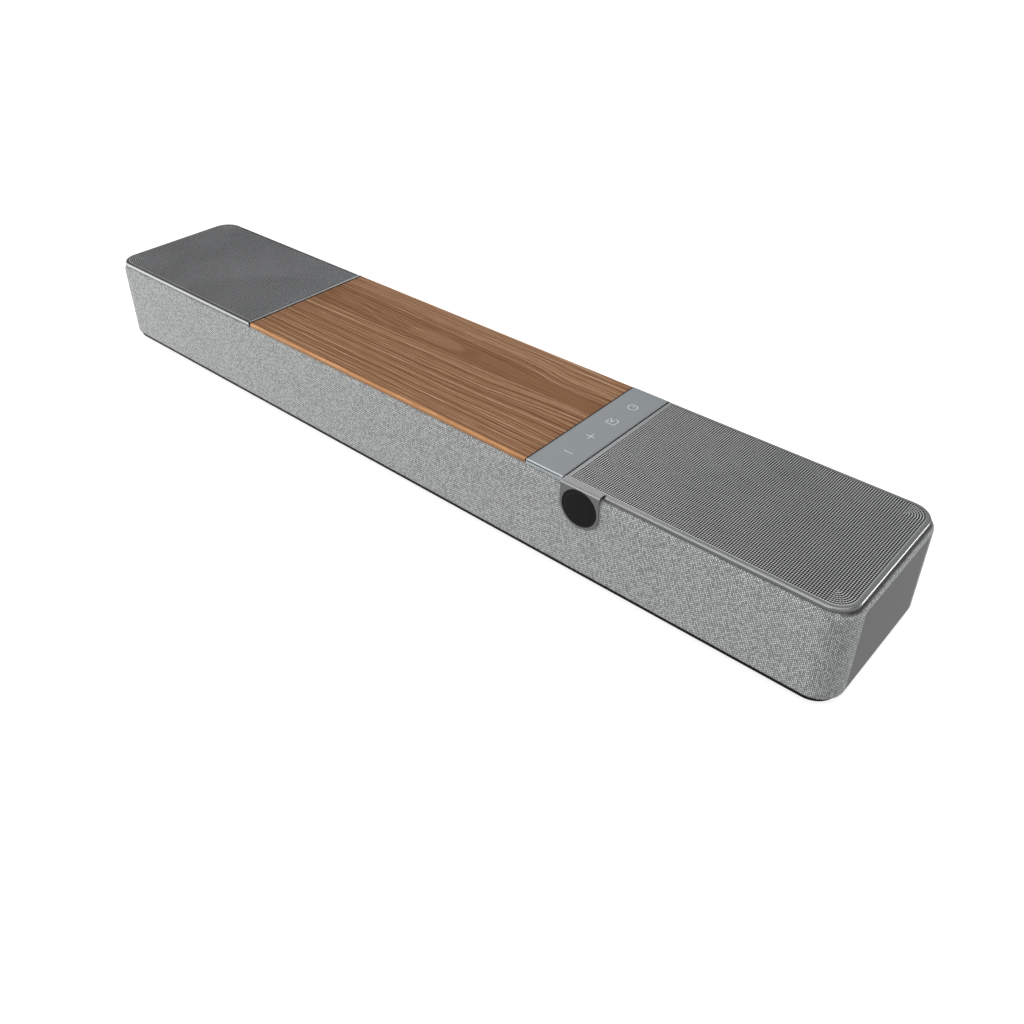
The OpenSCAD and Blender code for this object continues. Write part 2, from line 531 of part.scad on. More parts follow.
module optical_socket() color([0.06, 0.06, 0.06]) at() difference() {
  box(-28, -18, io_y - 11, io_y + io_t + 0.6, bz + pi_, 32.6);
  box(-26.6, -19.4, io_y - 5, io_y + io_t + 2, 24.2, 31);
  translate([-23, io_y - 8, 27.6]) rotate([-90, 0, 0]) cylinder(r = 1.25, h = 5);
}
module pre_out_jack() color([0.78, 0.66, 0.35]) at() difference() {
  union() {
    box(-57, -47, io_y - 11, io_y - 0.1, bz + pi_, 32.6);
    translate([-52, io_y - 0.2, jack_z]) rotate([-90, 0, 0]) cylinder(r = 4.15, h = 11.2);
  }
  translate([-52, io_y - 4, jack_z]) rotate([-90, 0, 0]) cylinder(r = 1.65, h = 20);
}
module base_screws() color([0.2, 0.2, 0.21]) at() for (p = post_xy) translate([p[0], p[1], foot_h + 0.3]) difference() {
  union() {
    rotate_extrude() polygon([[0, 0.3], [0.6, 0], [2, 0], [3.1, 0.9], [3.1, 1.85], [0, 1.85]]);
    cylinder(r = 1.25, h = 17);
  }
  for (a = [0, 90]) rotate([0, 0, a]) translate([-1.7, -0.35, -1]) cube([3.4, 0.7, 1.8]);
}
module wall_inserts() color([0.75, 0.6, 0.3]) at() for (s = [-1, 1])
  translate([s * insert_x, hy - insert_l + 0.05, insert_z]) rotate([-90, 0, 0]) difference() {
    cylinder(r = 3.95, h = insert_l - 0.1);
    translate([0, 0, -1]) cylinder(r = insert_r, h = insert_l + 2);
  }

front_baffle();
rear_cover();
end_cap_left();
end_cap_right();
top_deck();
base_plate();
bulkhead_left();
bulkhead_right();
feet();
fabric_sleeve();
grille_left();
grille_right();
grille_liners();
wood_veneer();
wood_core();
control_overlay();
key_minus();
key_plus();
key_source();
key_power();
key_carrier();
control_board();
tact_switches();
light_bar();
badge_disc();
woofer_left_basket();
woofer_left_motor();
woofer_left_cone();
woofer_left_dust_cap();
woofer_left_coil();
woofer_left_surround();
woofer_left_spider();
woofer_right_basket();
woofer_right_motor();
woofer_right_cone();
woofer_right_dust_cap();
woofer_right_coil();
woofer_right_surround();
woofer_right_spider();
driver_left_basket();
driver_left_motor();
driver_left_diaphragm();
driver_left_coil();
driver_left_surround();
driver_right_basket();
driver_right_motor();
driver_right_diaphragm();
driver_right_coil();
driver_right_surround();
main_board();
power_board();
heat_sink();
connector_plate();
mains_inlet();
video_socket();
optical_socket();
pre_out_jack();
base_screws();
woofer_screws();
wall_inserts();
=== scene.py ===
import json
import math

import bpy
import numpy as np
from mathutils import Matrix, Vector
from mathutils.geometry import delaunay_2d_cdt

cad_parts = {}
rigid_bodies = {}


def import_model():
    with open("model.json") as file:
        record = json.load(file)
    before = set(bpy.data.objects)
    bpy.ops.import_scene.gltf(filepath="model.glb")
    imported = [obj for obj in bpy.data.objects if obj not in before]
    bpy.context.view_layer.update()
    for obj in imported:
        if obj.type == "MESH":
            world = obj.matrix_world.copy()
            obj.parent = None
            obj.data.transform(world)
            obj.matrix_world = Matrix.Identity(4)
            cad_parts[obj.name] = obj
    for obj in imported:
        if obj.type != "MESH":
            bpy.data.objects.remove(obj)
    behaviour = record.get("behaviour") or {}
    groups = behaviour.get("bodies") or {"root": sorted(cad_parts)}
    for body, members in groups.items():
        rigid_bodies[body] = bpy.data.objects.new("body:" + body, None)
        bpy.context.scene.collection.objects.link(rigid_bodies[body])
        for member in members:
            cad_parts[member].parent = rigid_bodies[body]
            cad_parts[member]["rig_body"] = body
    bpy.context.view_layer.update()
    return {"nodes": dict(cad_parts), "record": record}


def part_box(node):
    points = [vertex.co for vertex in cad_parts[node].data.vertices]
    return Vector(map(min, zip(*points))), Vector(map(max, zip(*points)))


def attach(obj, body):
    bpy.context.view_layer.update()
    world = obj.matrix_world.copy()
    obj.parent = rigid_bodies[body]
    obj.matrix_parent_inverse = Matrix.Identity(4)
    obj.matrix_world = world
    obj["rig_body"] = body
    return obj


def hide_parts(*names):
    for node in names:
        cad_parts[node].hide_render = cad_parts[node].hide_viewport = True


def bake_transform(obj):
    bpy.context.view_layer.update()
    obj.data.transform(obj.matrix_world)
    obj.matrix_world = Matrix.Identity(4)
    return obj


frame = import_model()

ROOT = next(b for b, ns in frame["record"]["behaviour"]["bodies"].items() if "base_plate" in ns)


# ------------------------------------------------------------------ sizes, in mm
# Local coordinates: the frame's own, but with Y counted from the middle of the cabinet.
def box_mm(node):
    lo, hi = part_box(node)
    return np.array(lo) * 1000, np.array(hi) * 1000


_l, _h = box_mm("grille_left")
YO = (_l[1] + _h[1]) / 2
TOP, PY, PX = _h[2], (_h[1] - _l[1]) / 2, -_l[0]
SKIRT_Z = _l[2]
GL_X0 = -_h[0]
_l, _h = box_mm("grille_right")
GR_X0, TAB_Y, TAB_Z = _l[0], _l[1] - YO, _l[2]
SHEET = 0.9
UNDER = TOP - SHEET
_l, _h = box_mm("fabric_sleeve")
HX, HY, SL_Z0, SL_Z1 = _h[0], _h[1] - YO, _l[2], _h[2]
_l, _h = box_mm("badge_disc")
DISC_X, DISC_Z, DISC_R = (_l[0] + _h[0]) / 2, (_l[2] + _h[2]) / 2, (_h[0] - _l[0]) / 2
DISC_Y0, DISC_Y1 = _l[1] - YO, _h[1] - YO
_l, _h = box_mm("wood_veneer")
WX0, WX1, WY, WZ0 = _l[0] + 0.65, _h[0] - 0.10, _h[1] - YO, _l[2]
_l, _h = box_mm("control_overlay")
SX0, SX1, SY, SZ0 = _l[0], _h[0], _h[1] - YO, _l[2]
KEYS = {}
for _k in ("minus", "plus", "source", "power"):
    _l, _h = box_mm("key_" + _k)
    KEYS[_k] = ((_l[0] + _h[0]) / 2, (_l[1] + _h[1]) / 2 - YO, (_h[0] - _l[0]) / 2, (_h[1] - _l[1]) / 2)
BODY_OF = {n: b for b, ns in frame["record"]["behaviour"]["bodies"].items() for n in ns}
FAB_R, PLATE_R = 17.5, 15.5
PITCH, PITCH_Y, HOLE_R = 1.608, 1.6155, 0.66
X_LAST, Y_FIRST, ROWS, BLK = PX - 4.1, -35 * PITCH_Y + 0.5, 71, 7


# ------------------------------------------------------------------ meshes
def make(name, verts, faces, mat, body=None, sharp=35.0, uv=None):
    v = np.asarray(verts, float).reshape(-1, 3).copy()
    v[:, 1] += YO
    me = bpy.data.meshes.new(name)
    me.from_pydata((v / 1000).tolist(), [], [tuple(int(i) for i in f) for f in faces])
    me.validate()
    if uv is not None:
        layer = me.uv_layers.new(name="Cloth")
        idx = np.empty(len(me.loops), np.int32)
        me.loops.foreach_get("vertex_index", idx)
        layer.uv.foreach_set("vector", np.asarray(uv, np.float32)[idx].ravel())
    me.polygons.foreach_set("use_smooth", np.ones(len(me.polygons), bool))
    if sharp is not None:
        me.set_sharp_from_angle(angle=math.radians(sharp))
    me.materials.append(mat)
    me.update()
    ob = bpy.data.objects.new(name, me)
    bpy.context.scene.collection.objects.link(ob)
    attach(ob, body or ROOT)
    return ob


class Mesh:
    """Gathers vertices and faces, with a helper for swept profiles and prisms."""

    def __init__(self):
        self.v, self.f = [], []

    def add(self, pts):
        i = len(self.v)
        self.v += [tuple(p) for p in pts]
        return list(range(i, i + len(pts)))

    def loft(self, rings, closed_ring=True, closed_path=False, cap=False, flip=False):
        """rings: lists of points with the same count. Faces look outwards when the ring turns
        anticlockwise seen against the path."""
        ids = [self.add(r) for r in rings]
        n = len(ids[0])
        m = len(ids)
        for j in range(m if closed_path else m - 1):
            a, b = ids[j], ids[(j + 1) % m]
            for i in range(n if closed_ring else n - 1):
                q = (a[i], b[i], b[(i + 1) % n], a[(i + 1) % n])
                self.f.append(q[::-1] if flip else q)
        if cap:
            c0, c1 = tuple(ids[0]), tuple(ids[-1][::-1])
            self.f += [c0[::-1], c1[::-1]] if flip else [c0, c1]
        return ids

    def prism(self, outline, z0, z1):
        """outline: anticlockwise plan polygon."""
        lo = self.add([(x, y, z0) for x, y in outline])
        hi = self.add([(x, y, z1) for x, y in outline])
        n = len(outline)
        self.f.append(tuple(hi))
        self.f.append(tuple(lo[::-1]))
        for i in range(n):
            j = (i + 1) % n
            self.f.append((lo[i], lo[j], hi[j], hi[i]))


def arc(cx, cy, r, a0, a1, n):
    return [(cx + r * math.cos(math.radians(a0 + (a1 - a0) * i / n)), cy + r * math.sin(math.radians(a0 + (a1 - a0) * i / n))) for i in range(n + 1)]


# ------------------------------------------------------------------ materials
class Mat:
    """A small layer over a node tree with one Principled shader."""

    def __init__(self, name, **sockets):
        self.m = bpy.data.materials.new(name)
        self.m.use_nodes = True
        self.t = self.m.node_tree
        self.t.nodes.clear()
        out = self.t.nodes.new("ShaderNodeOutputMaterial")
        self.p = self.t.nodes.new("ShaderNodeBsdfPrincipled")
        self.t.links.new(self.p.outputs[0], out.inputs[0])
        for k, v in sockets.items():
            self.set(k.replace("_", " "), v)

    def set(self, name, v):
        s = self.p.inputs[name]
        if isinstance(v, bpy.types.NodeSocket):
            self.t.links.new(v, s)
        elif isinstance(v, (tuple, list)) and len(v) == 3:
            s.default_value = (*v, 1)
        else:
            s.default_value = v

    def node(self, kind, ins=None, **attrs):
        n = self.t.nodes.new(kind)
        for k, v in attrs.items():
            setattr(n, k, v)
        for k, v in (ins or {}).items():
            s = n.inputs[k]
            if isinstance(v, bpy.types.NodeSocket):
                self.t.links.new(v, s)
            elif isinstance(v, (tuple, list)) and len(v) == 3 and s.type == "RGBA":
                s.default_value = (*v, 1)
            else:
                s.default_value = v
        return n

    def mt(self, op, a, b=None, c=None, clamp=False):
        ins = {0: a}
        if b is not None:
            ins[1] = b
        if c is not None:
            ins[2] = c
        return self.node("ShaderNodeMath", ins, operation=op, use_clamp=clamp).outputs[0]

    def obj(self):
        return self.node("ShaderNodeTexCoord").outputs["Object"]

    def uv(self, name):
        return self.node("ShaderNodeUVMap", uv_map=name).outputs[0]

    def xyz(self, vec):
        n = self.node("ShaderNodeSeparateXYZ", {0: vec})
        return n.outputs[0], n.outputs[1], n.outputs[2]

    def vec(self, x, y, z=0.0):
        return self.node("ShaderNodeCombineXYZ", {0: x, 1: y, 2: z}).outputs[0]

    def scale(self, vec, s):
        return self.node("ShaderNodeVectorMath", {0: vec, 1: s}, operation="MULTIPLY").outputs[0]

    def noise(self, vec, scale, detail=2.0, rough=0.5, distortion=0.0):
        return self.node("ShaderNodeTexNoise", {"Vector": vec, "Scale": scale, "Detail": detail, "Roughness": rough, "Distortion": distortion}, noise_dimensions="3D").outputs[0]

    def white(self, vec):
        return self.node("ShaderNodeTexWhiteNoise", {"Vector": vec}, noise_dimensions="3D").outputs["Value"]

    def ramp(self, fac, stops, interp="LINEAR"):
        n = self.node("ShaderNodeValToRGB", {0: fac})
        e = n.color_ramp.elements
        while len(e) > 1:
            e.remove(e[-1])
        n.color_ramp.interpolation = interp
        for i, (pos, col) in enumerate(stops):
            el = e[0] if i == 0 else e.new(pos)
            el.position = pos
            el.color = (*col, 1) if isinstance(col, (tuple, list)) else (col, col, col, 1)
        return n.outputs[0]

    def mix(self, fac, a, b, blend="MIX"):
        n = self.node("ShaderNodeMix", data_type="RGBA", blend_type=blend)
        for key, v in (("Factor", fac), ("A", a), ("B", b)):
            s = next(x for x in n.inputs if x.name == key and x.type == ("VALUE" if key == "Factor" else "RGBA"))
            if isinstance(v, bpy.types.NodeSocket):
                self.t.links.new(v, s)
            elif isinstance(v, (tuple, list)):
                s.default_value = (*v, 1)
            else:
                s.default_value = v
        return next(x for x in n.outputs if x.type == "RGBA")

    def curve(self, v, a, b, pts, c, d):
        """A smooth function of v on a..b through pts, whose values lie in c..d."""
        n = self.node("ShaderNodeFloatCurve", {"Value": self.remap(v, a, b, 0.0, 1.0)})
        cv = n.mapping.curves[0]
        q = [((x - a) / (b - a), (y - c) / (d - c)) for x, y in pts]
        if q[0][0] > 0:
            q.insert(0, (0.0, q[0][1]))
        if q[-1][0] < 1:
            q.append((1.0, q[-1][1]))
        cv.points[0].location, cv.points[1].location = q[0], q[-1]
        for x, y in q[1:-1]:
            cv.points.new(x, y)
        n.mapping.update()
        return self.remap(n.outputs[0], 0.0, 1.0, c, d)

    def remap(self, v, a, b, c, d, clamp=True):
        return self.node("ShaderNodeMapRange", {"Value": v, "From Min": a, "From Max": b, "To Min": c, "To Max": d}, clamp=clamp).outputs[0]

    def bump(self, height, distance, strength=1.0, normal=None):
        ins = {"Height": height, "Distance": distance, "Strength": strength}
        if normal is not None:
            ins["Normal"] = normal
        return self.node("ShaderNodeBump", ins).outputs[0]


def col(m, fac, base, spread):
    """Base colour with a soft brightness change round it, driven by fac."""
    lo = tuple(max(0.0, c * (1 - spread)) for c in base)
    hi = tuple(min(1.0, c * (1 + spread)) for c in base)
    return m.ramp(fac, [(0.25, lo), (0.75, hi)])


def moulded(name, base, rough=0.5, grain=0.02, grain_scale=2600.0, spread=0.14, spec=0.45, dust=0.0):
    m = Mat(name)
    o = m.obj()
    cloud = m.noise(o, 45.0, 4.0, 0.55)
    fine = m.noise(o, grain_scale, 2.0, 0.6)
    c = col(m, cloud, base, spread)
    if dust:
        g = m.node("ShaderNodeNewGeometry").outputs["Normal"]
        up = m.xyz(g)[2]
        fac = m.mt("MULTIPLY", m.remap(up, 0.3, 1.0, 0.0, dust), m.noise(o, 180.0, 3.0))
        c = m.mix(fac, c, (0.45, 0.44, 0.42))
    m.set("Base Color", c)
    m.set("Roughness", m.mt("ADD", m.remap(cloud, 0.2, 0.8, rough - 0.06, rough + 0.06), m.remap(fine, 0.3, 0.7, -0.04, 0.04)))
    m.set("Specular IOR Level", spec)
    m.set("Normal", m.bump(fine, grain / 1000.0, 0.8))
    return m.m


def metal(name, base, rough=0.3, scratch=(900.0, 60.0, 60.0), spread=0.12, bump=0.004, aniso=0.0):
    m = Mat(name, Metallic=1.0)
    o = m.obj()
    brush = m.noise(m.scale(o, scratch), 3.0, 3.0, 0.65)
    cloud = m.noise(o, 70.0, 3.0)
    m.set("Base Color", col(m, cloud, base, spread))
    m.set("Roughness", m.mt("ADD", m.remap(brush, 0.25, 0.75, rough - 0.08, rough + 0.08), m.remap(cloud, 0.3, 0.7, -0.03, 0.03)))
    m.set("Normal", m.bump(brush, bump / 1000.0, 0.7))
    if aniso:
        m.set("Anisotropic", aniso)
    return m.m


# ---- painted perforated sheet: the inside of each hole is painted near-black as painted shade
def grille_material(name, base, rough, metallic, border=None):
    m = Mat(name)
    o = m.obj()
    fine = m.noise(o, 5200.0, 2.0, 0.6)
    cloud = m.noise(o, 22.0, 4.0, 0.5)
    c = m.mix(m.remap(fine, 0.3, 0.7, 0.0, 1.0), tuple(x * 0.93 for x in base), tuple(min(1, x * 1.07) for x in base))
    c = m.mix(m.remap(cloud, 0.3, 0.7, 0.0, 0.35), c, tuple(min(1, x * 1.12) for x in base))
    m.set("Metallic", metallic)
    if name == "grille_sheet_left":
        # painted highlight: the edge beside the wood is painted a little brighter
        x, y, _ = m.xyz(m.scale(o, (1000.0, 1000.0, 1000.0)))
        painted_edge_highlight = m.mt("MULTIPLY", m.remap(x, -GL_X0 - 1.9, -GL_X0 - 1.4, 0.0, 1.0), m.remap(y, YO - PY + 1.2, YO - PY + 1.8, 0.0, 1.0))
        c = m.mix(painted_edge_highlight, c, tuple(min(1, v * 3.2) for v in base))
    if "sheet" in name:
        # painted shade: the start of the fold is painted a little darker than the flat and the skirt
        nz = m.xyz(m.node("ShaderNodeNewGeometry").outputs["True Normal"])[2]
        k = 0.55 if "left" in name else 0.42
        c = m.mix(m.curve(nz, 0.0, 1.0, [(0.0, 0.0), (0.62, 0.0), (0.80, k), (0.95, k), (0.99, 0.0), (1.0, 0.0)], 0.0, 1.0), c, (0.01, 0.01, 0.01))
        # painted highlight: on the right sheet the skirt and the lower part of the fold are painted lighter
        if "right" in name:
            c = m.mix(m.curve(nz, 0.0, 1.0, [(0.0, 0.15), (0.25, 0.5), (0.6, 0.5), (0.72, 0.0), (1.0, 0.0)], 0.0, 1.0), c, tuple(v * 1.35 for v in base))
    r = m.mt("ADD", m.remap(cloud, 0.3, 0.7, rough - 0.03, rough + 0.04), m.remap(fine, 0.3, 0.7, -0.03, 0.03))
    if border:
        # the plain margin outside the last holes is the colour of the folded edge
        x, y, _ = m.xyz(m.scale(o, (1000.0, 1000.0, 1000.0)))
        dx = m.mt("SUBTRACT", m.mt("ABSOLUTE", x), float(PX - PLATE_R))
        dy = m.mt("SUBTRACT", m.mt("ABSOLUTE", m.mt("SUBTRACT", y, float(YO))), float(PY - PLATE_R))
        ox, oy = m.mt("MAXIMUM", dx, 0.0), m.mt("MAXIMUM", dy, 0.0)
        far = m.mt("SQRT", m.mt("ADD", m.mt("MULTIPLY", ox, ox), m.mt("MULTIPLY", oy, oy)))
        far = m.mt("ADD", far, m.mt("MINIMUM", m.mt("MAXIMUM", dx, dy), 0.0))
        c = m.mix(m.remap(far, PLATE_R - 3.4, PLATE_R - 3.1, 0.0, 1.0), c, border)
        # painted shade: the metal is darkened round each hole, so it is brightest midway between the holes
        tau = 2 * math.pi
        ax_ = m.mt("ABSOLUTE", x)
        yl = m.mt("SUBTRACT", y, float(YO))
        wx = m.mt("COSINE", m.mt("MULTIPLY", m.mt("SUBTRACT", ax_, float(X_LAST)), tau / PITCH))
        wy = m.mt("COSINE", m.mt("MULTIPLY", m.mt("SUBTRACT", yl, float(Y_FIRST)), tau / PITCH_Y))
        w = m.mt("MULTIPLY", m.mt("ADD", wx, wy), 0.5)
        # rings of holes in the two outer corners
        xc = X_LAST - BLK * PITCH
        for yc, sy in ((Y_FIRST + BLK * PITCH_Y, -1.0), (Y_FIRST + (ROWS - 1 - BLK) * PITCH_Y, 1.0)):
            cx = m.mt("SUBTRACT", ax_, float(xc))
            cy = m.mt("MULTIPLY", m.mt("SUBTRACT", yl, float(yc)), sy)
            rr = m.mt("SQRT", m.mt("ADD", m.mt("MULTIPLY", cx, cx), m.mt("MULTIPLY", cy, cy)))
            wr = m.mt("SUBTRACT", m.mt("MULTIPLY", m.mt("COSINE", m.mt("MULTIPLY", rr, tau / PITCH)), 0.35), 0.35)
            inside = m.mt("MULTIPLY", m.mt("GREATER_THAN", cx, -PITCH / 2), m.mt("GREATER_THAN", cy, -PITCH_Y / 2))
            w = m.mt("ADD", m.mt("MULTIPLY", wr, inside), m.mt("MULTIPLY", w, m.mt("SUBTRACT", 1.0, inside)))
        plain = m.remap(far, PLATE_R - 3.6, PLATE_R - 3.2, 0.0, 1.0)
        crest = m.remap(w, -0.08, -0.80, 0.0, 1.0)
        c = m.mix(m.mt("MULTIPLY", m.mt("SUBTRACT", 1.0, crest), m.mt("SUBTRACT", 1.0, plain)), c, tuple(0.25 * v for v in base))
        # painted shade: the walls of the holes are painted near-black
        nz = m.xyz(m.node("ShaderNodeNewGeometry").outputs["True Normal"])[2]
        wall = m.remap(m.mt("ABSOLUTE", nz), 0.3, 0.7, 1.0, 0.0)
        c = m.mix(wall, c, (0.004, 0.004, 0.004))
        r = m.mt("MAXIMUM", r, m.mt("MULTIPLY", wall, 0.95))
        m.set("Metallic", m.mt("MULTIPLY", m.mt("SUBTRACT", 1.0, wall), metallic))
    m.set("Base Color", c)
    m.set("Roughness", r)
    m.set("Normal", m.bump(fine, 0.000006, 0.8))
    return m.m


END_SHADE_C = (0.091, 0.091, 0.088)
EXT_L, EXT_R = 0.55, 1.05


# ---- woven melange cloth: upright light yarns over darker cross yarns, a dot at each crossing
def cloth_material(name, dark, mid, light, pu=0.00104, pv=0.00172):
    m = Mat(name)
    u, v, _ = m.xyz(m.uv("Cloth"))
    wob = m.noise(m.vec(m.mt("MULTIPLY", u, 0.3), v), 240.0, 2.0)
    u = m.mt("ADD", u, m.remap(wob, 0.3, 0.7, -0.00011, 0.00011, clamp=False))
    wob2 = m.noise(m.vec(u, m.mt("MULTIPLY", v, 0.3), 3.0), 240.0, 2.0)
    v = m.mt("ADD", v, m.remap(wob2, 0.3, 0.7, -0.00009, 0.00009, clamp=False))
    su = m.mt("DIVIDE", u, pu)
    iu, fu = m.mt("FLOOR", su), m.mt("FRACT", su)
    half = m.mt("MULTIPLY", m.mt("FRACT", m.mt("MULTIPLY", iu, 0.5)), 1.0)  # 0 or 0.5: plain weave
    sv = m.mt("ADD", m.mt("DIVIDE", v, pv), half)
    iv, fv = m.mt("FLOOR", sv), m.mt("FRACT", sv)
    a = m.mt("SINE", m.mt("MULTIPLY", fu, math.pi))
    b = m.mt("SINE", m.mt("MULTIPLY", fv, math.pi))
    up = m.mt("MULTIPLY", m.mt("POWER", a, 0.9), m.remap(b, 0.2, 0.9, 0.30, 1.0))      # upright yarn on top
    low = m.mt("MULTIPLY", m.mt("POWER", m.mt("SUBTRACT", 1.0, b), 0.6), m.remap(a, 0.0, 0.5, 0.55, 1.0))
    # every dot has its own tone; some fibres are missing, some are pale
    fleck = m.white(m.vec(iu, iv, 11.0))
    # a dark dot mostly has paler ones round it, so the melange stays fine and shows no blotches
    near = [m.white(m.vec(m.mt("ADD", iu, du), m.mt("ADD", iv, dv), 11.0)) for du, dv in ((-1.0, 0.0), (1.0, 0.0), (0.0, -1.0), (0.0, 1.0))]
    near = m.mt("ADD", m.mt("ADD", near[0], near[1]), m.mt("ADD", near[2], near[3]))
    fleck = m.mt("ADD", fleck, m.mt("ADD", m.mt("MULTIPLY", near, -0.055), 0.11))
    slub = m.white(m.vec(iu, m.mt("FLOOR", m.mt("DIVIDE", iv, 3.0)), 4.0))
    row = m.white(m.vec(m.mt("FLOOR", m.mt("DIVIDE", iu, 3.0)), m.mt("FLOOR", m.mt("DIVIDE", v, pv * 0.5)), 8.0))
    fibre = m.noise(m.vec(u, v), 5200.0, 2.0, 0.6)
    cloud = m.noise(m.vec(u, v), 30.0, 3.0)
    dot = m.mt("ADD", m.mt("MULTIPLY", fleck, 0.31), m.mt("MULTIPLY", slub, 0.055))
    dot = m.mt("ADD", dot, m.remap(fibre, 0.3, 0.7, 0.3075, 0.4475))
    dot = m.mt("ADD", dot, m.remap(cloud, 0.3, 0.7, -0.008, 0.008))
    weft = m.mt("ADD", m.mt("MULTIPLY", row, 0.3), m.remap(fibre, 0.3, 0.7, 0.15, 0.55))
    c_up = m.ramp(dot, [(0.12, tuple(0.55 * p + 0.45 * q for p, q in zip(dark, mid))), (0.30, mid), (0.62, tuple(0.40 * p + 0.60 * q for p, q in zip(mid, light))), (0.95, light)])
    c_low = m.ramp(weft, [(0.05, dark), (0.9, mid)])
    c = m.mix(m.remap(up, 0.22, 0.78, 0.0, 1.0), c_low, c_up)
    # dust-free, with painted shade: the shoulder is painted darker where it goes in under the top plates
    nz = m.xyz(m.node("ShaderNodeNewGeometry").outputs["True Normal"])[2]
    shade_end = m.curve(nz, 0.0, 1.0, [(0.0, 0.0), (0.2, 0.0), (0.5, 0.12), (0.70, 0.34), (0.78, 0.74), (0.9, 0.9), (1.0, 0.95)], 0.0, 1.0)
    shade_long = m.curve(nz, 0.0, 1.0, [(0.0, 0.0), (0.3, 0.10), (0.6, 0.18), (0.9, 0.26), (0.96, 0.5), (1.0, 0.7)], 0.0, 1.0)
    at_end = m.remap(m.mt("ABSOLUTE", m.xyz(m.obj())[0]), (HX - 9.0) / 1000, (HX - 4.0) / 1000, 0.0, 1.0)
    c = m.mix(m.mt("ADD", m.mt("MULTIPLY", shade_end, at_end), m.mt("MULTIPLY", shade_long, m.mt("SUBTRACT", 1.0, at_end))), c, (0.010, 0.010, 0.010))
    h = m.mt("ADD", m.mt("MULTIPLY", up, 0.8), m.mt("MULTIPLY", low, 0.55))
    h = m.mt("ADD", h, m.mt("MULTIPLY", fibre, 0.2))
    # painted shade: the flat ends are painted a darker grey with a finer, smoother texture
    ox, oy, oz = m.xyz(m.scale(m.obj(), (1000.0, 1000.0, 1000.0)))
    oy = m.mt("SUBTRACT", oy, float(YO))
    ex = m.mt("ABSOLUTE", m.mt("SUBTRACT", ox, float(EXT_L + EXT_R) / 2))
    end = m.mt("MULTIPLY", m.remap(ex, HX + (EXT_R - EXT_L) / 2 - 0.9, HX + (EXT_R - EXT_L) / 2 - 0.3, 0.0, 1.0), m.remap(m.mt("ABSOLUTE", oy), HY - FAB_R - 1.9, HY - FAB_R - 1.0, 1.0, 0.0))
    end = m.mt("MULTIPLY", end, m.remap(oz, SL_Z1 - 4.6, SL_Z1 - 3.9, 1.0, 0.0))
    knit = m.noise(m.vec(m.mt("MULTIPLY", u, 1.0), m.mt("MULTIPLY", v, 0.35)), 3800.0, 2.0, 0.6)
    knit2 = m.noise(m.vec(m.mt("MULTIPLY", u, 0.2), v, 2.0), 2600.0, 2.0, 0.6)
    kn = m.mt("ADD", m.mt("MULTIPLY", knit, 0.6), m.mt("MULTIPLY", knit2, 0.4))
    c_end_shade = m.ramp(kn, [(0.30, tuple(0.80 * q for q in END_SHADE_C)), (0.70, tuple(1.20 * q for q in END_SHADE_C))])
    c = m.mix(end, c, c_end_shade)
    h = m.mt("ADD", m.mt("MULTIPLY", h, m.mt("SUBTRACT", 1.0, end)), m.mt("MULTIPLY", m.mt("MULTIPLY", kn, end), 0.25))
    m.set("Base Color", c)
    m.set("Roughness", 0.92)
    m.set("Specular IOR Level", 0.18)
    m.set("Sheen Weight", 0.2)
    m.set("Sheen Roughness", 0.5)
    m.set("Normal", m.bump(h, 0.00014, 0.7))
    return m.m


def srgb(r, g, b, gain=1.0, lift=0.0):
    """Albedo that comes out near (r, g, b) on the display where light of that gain falls."""
    lin = [((c / 255 + 0.055) / 1.055) ** 2.4 if c > 10 else c / 255 / 12.92 for c in (r, g, b)]
    return tuple(max(0.004, (c - lift) / gain) for c in lin)


# ---- walnut: straight, finely streaked figure with a calm dark flame at the back
W_GAIN, W_LIFT = 1.42, 0.020
STREAKS = [  # (distance from the middle line in mm, tone)
    (-57.5, 0.36), (-55.6, 0.50), (-54.0, 0.74), (-51.8, 0.32), (-49.5, 0.80), (-48.4, 0.42),
    (-47.0, 0.26), (-45.2, 0.36), (-43.5, 0.80), (-42.2, 0.34), (-41.0, 0.20), (-39.4, 0.45), (-38.0, 1.0), (-36.7, 0.55), (-34.6, 0.52),
    (-32.8, 0.24), (-30.6, 0.76), (-28.6, 0.50), (-26.2, 0.44), (-24.0, 0.26), (-22.5, 0.55), (-21.4, 1.0), (-20.3, 0.50), (-18.0, 0.22),
    (-15.8, 0.32), (-14.0, 0.70), (-12.6, 0.36), (-11.0, 0.72), (-8.9, 0.36), (-6.6, 0.70), (-5.2, 0.32), (-3.6, 0.20), (-2.0, 0.40),
    (-0.1, 0.98), (1.6, 0.55), (3.8, 0.42), (6.5, 0.64), (8.0, 0.30), (9.8, 0.12), (11.6, 0.24), (18.0, 0.28), (26.5, 0.30),
    (28.6, 0.16), (30.6, 0.13), (33.2, 0.24), (35.0, 0.70), (36.4, 0.44), (38.0, 0.28), (39.5, 0.55), (41.0, 0.34), (42.6, 0.70),
    (45.8, 0.78), (47.4, 0.50), (49.6, 0.72), (51.2, 0.40), (53.2, 0.76), (55.0, 0.50), (57.0, 0.74), (59.5, 0.52),
]


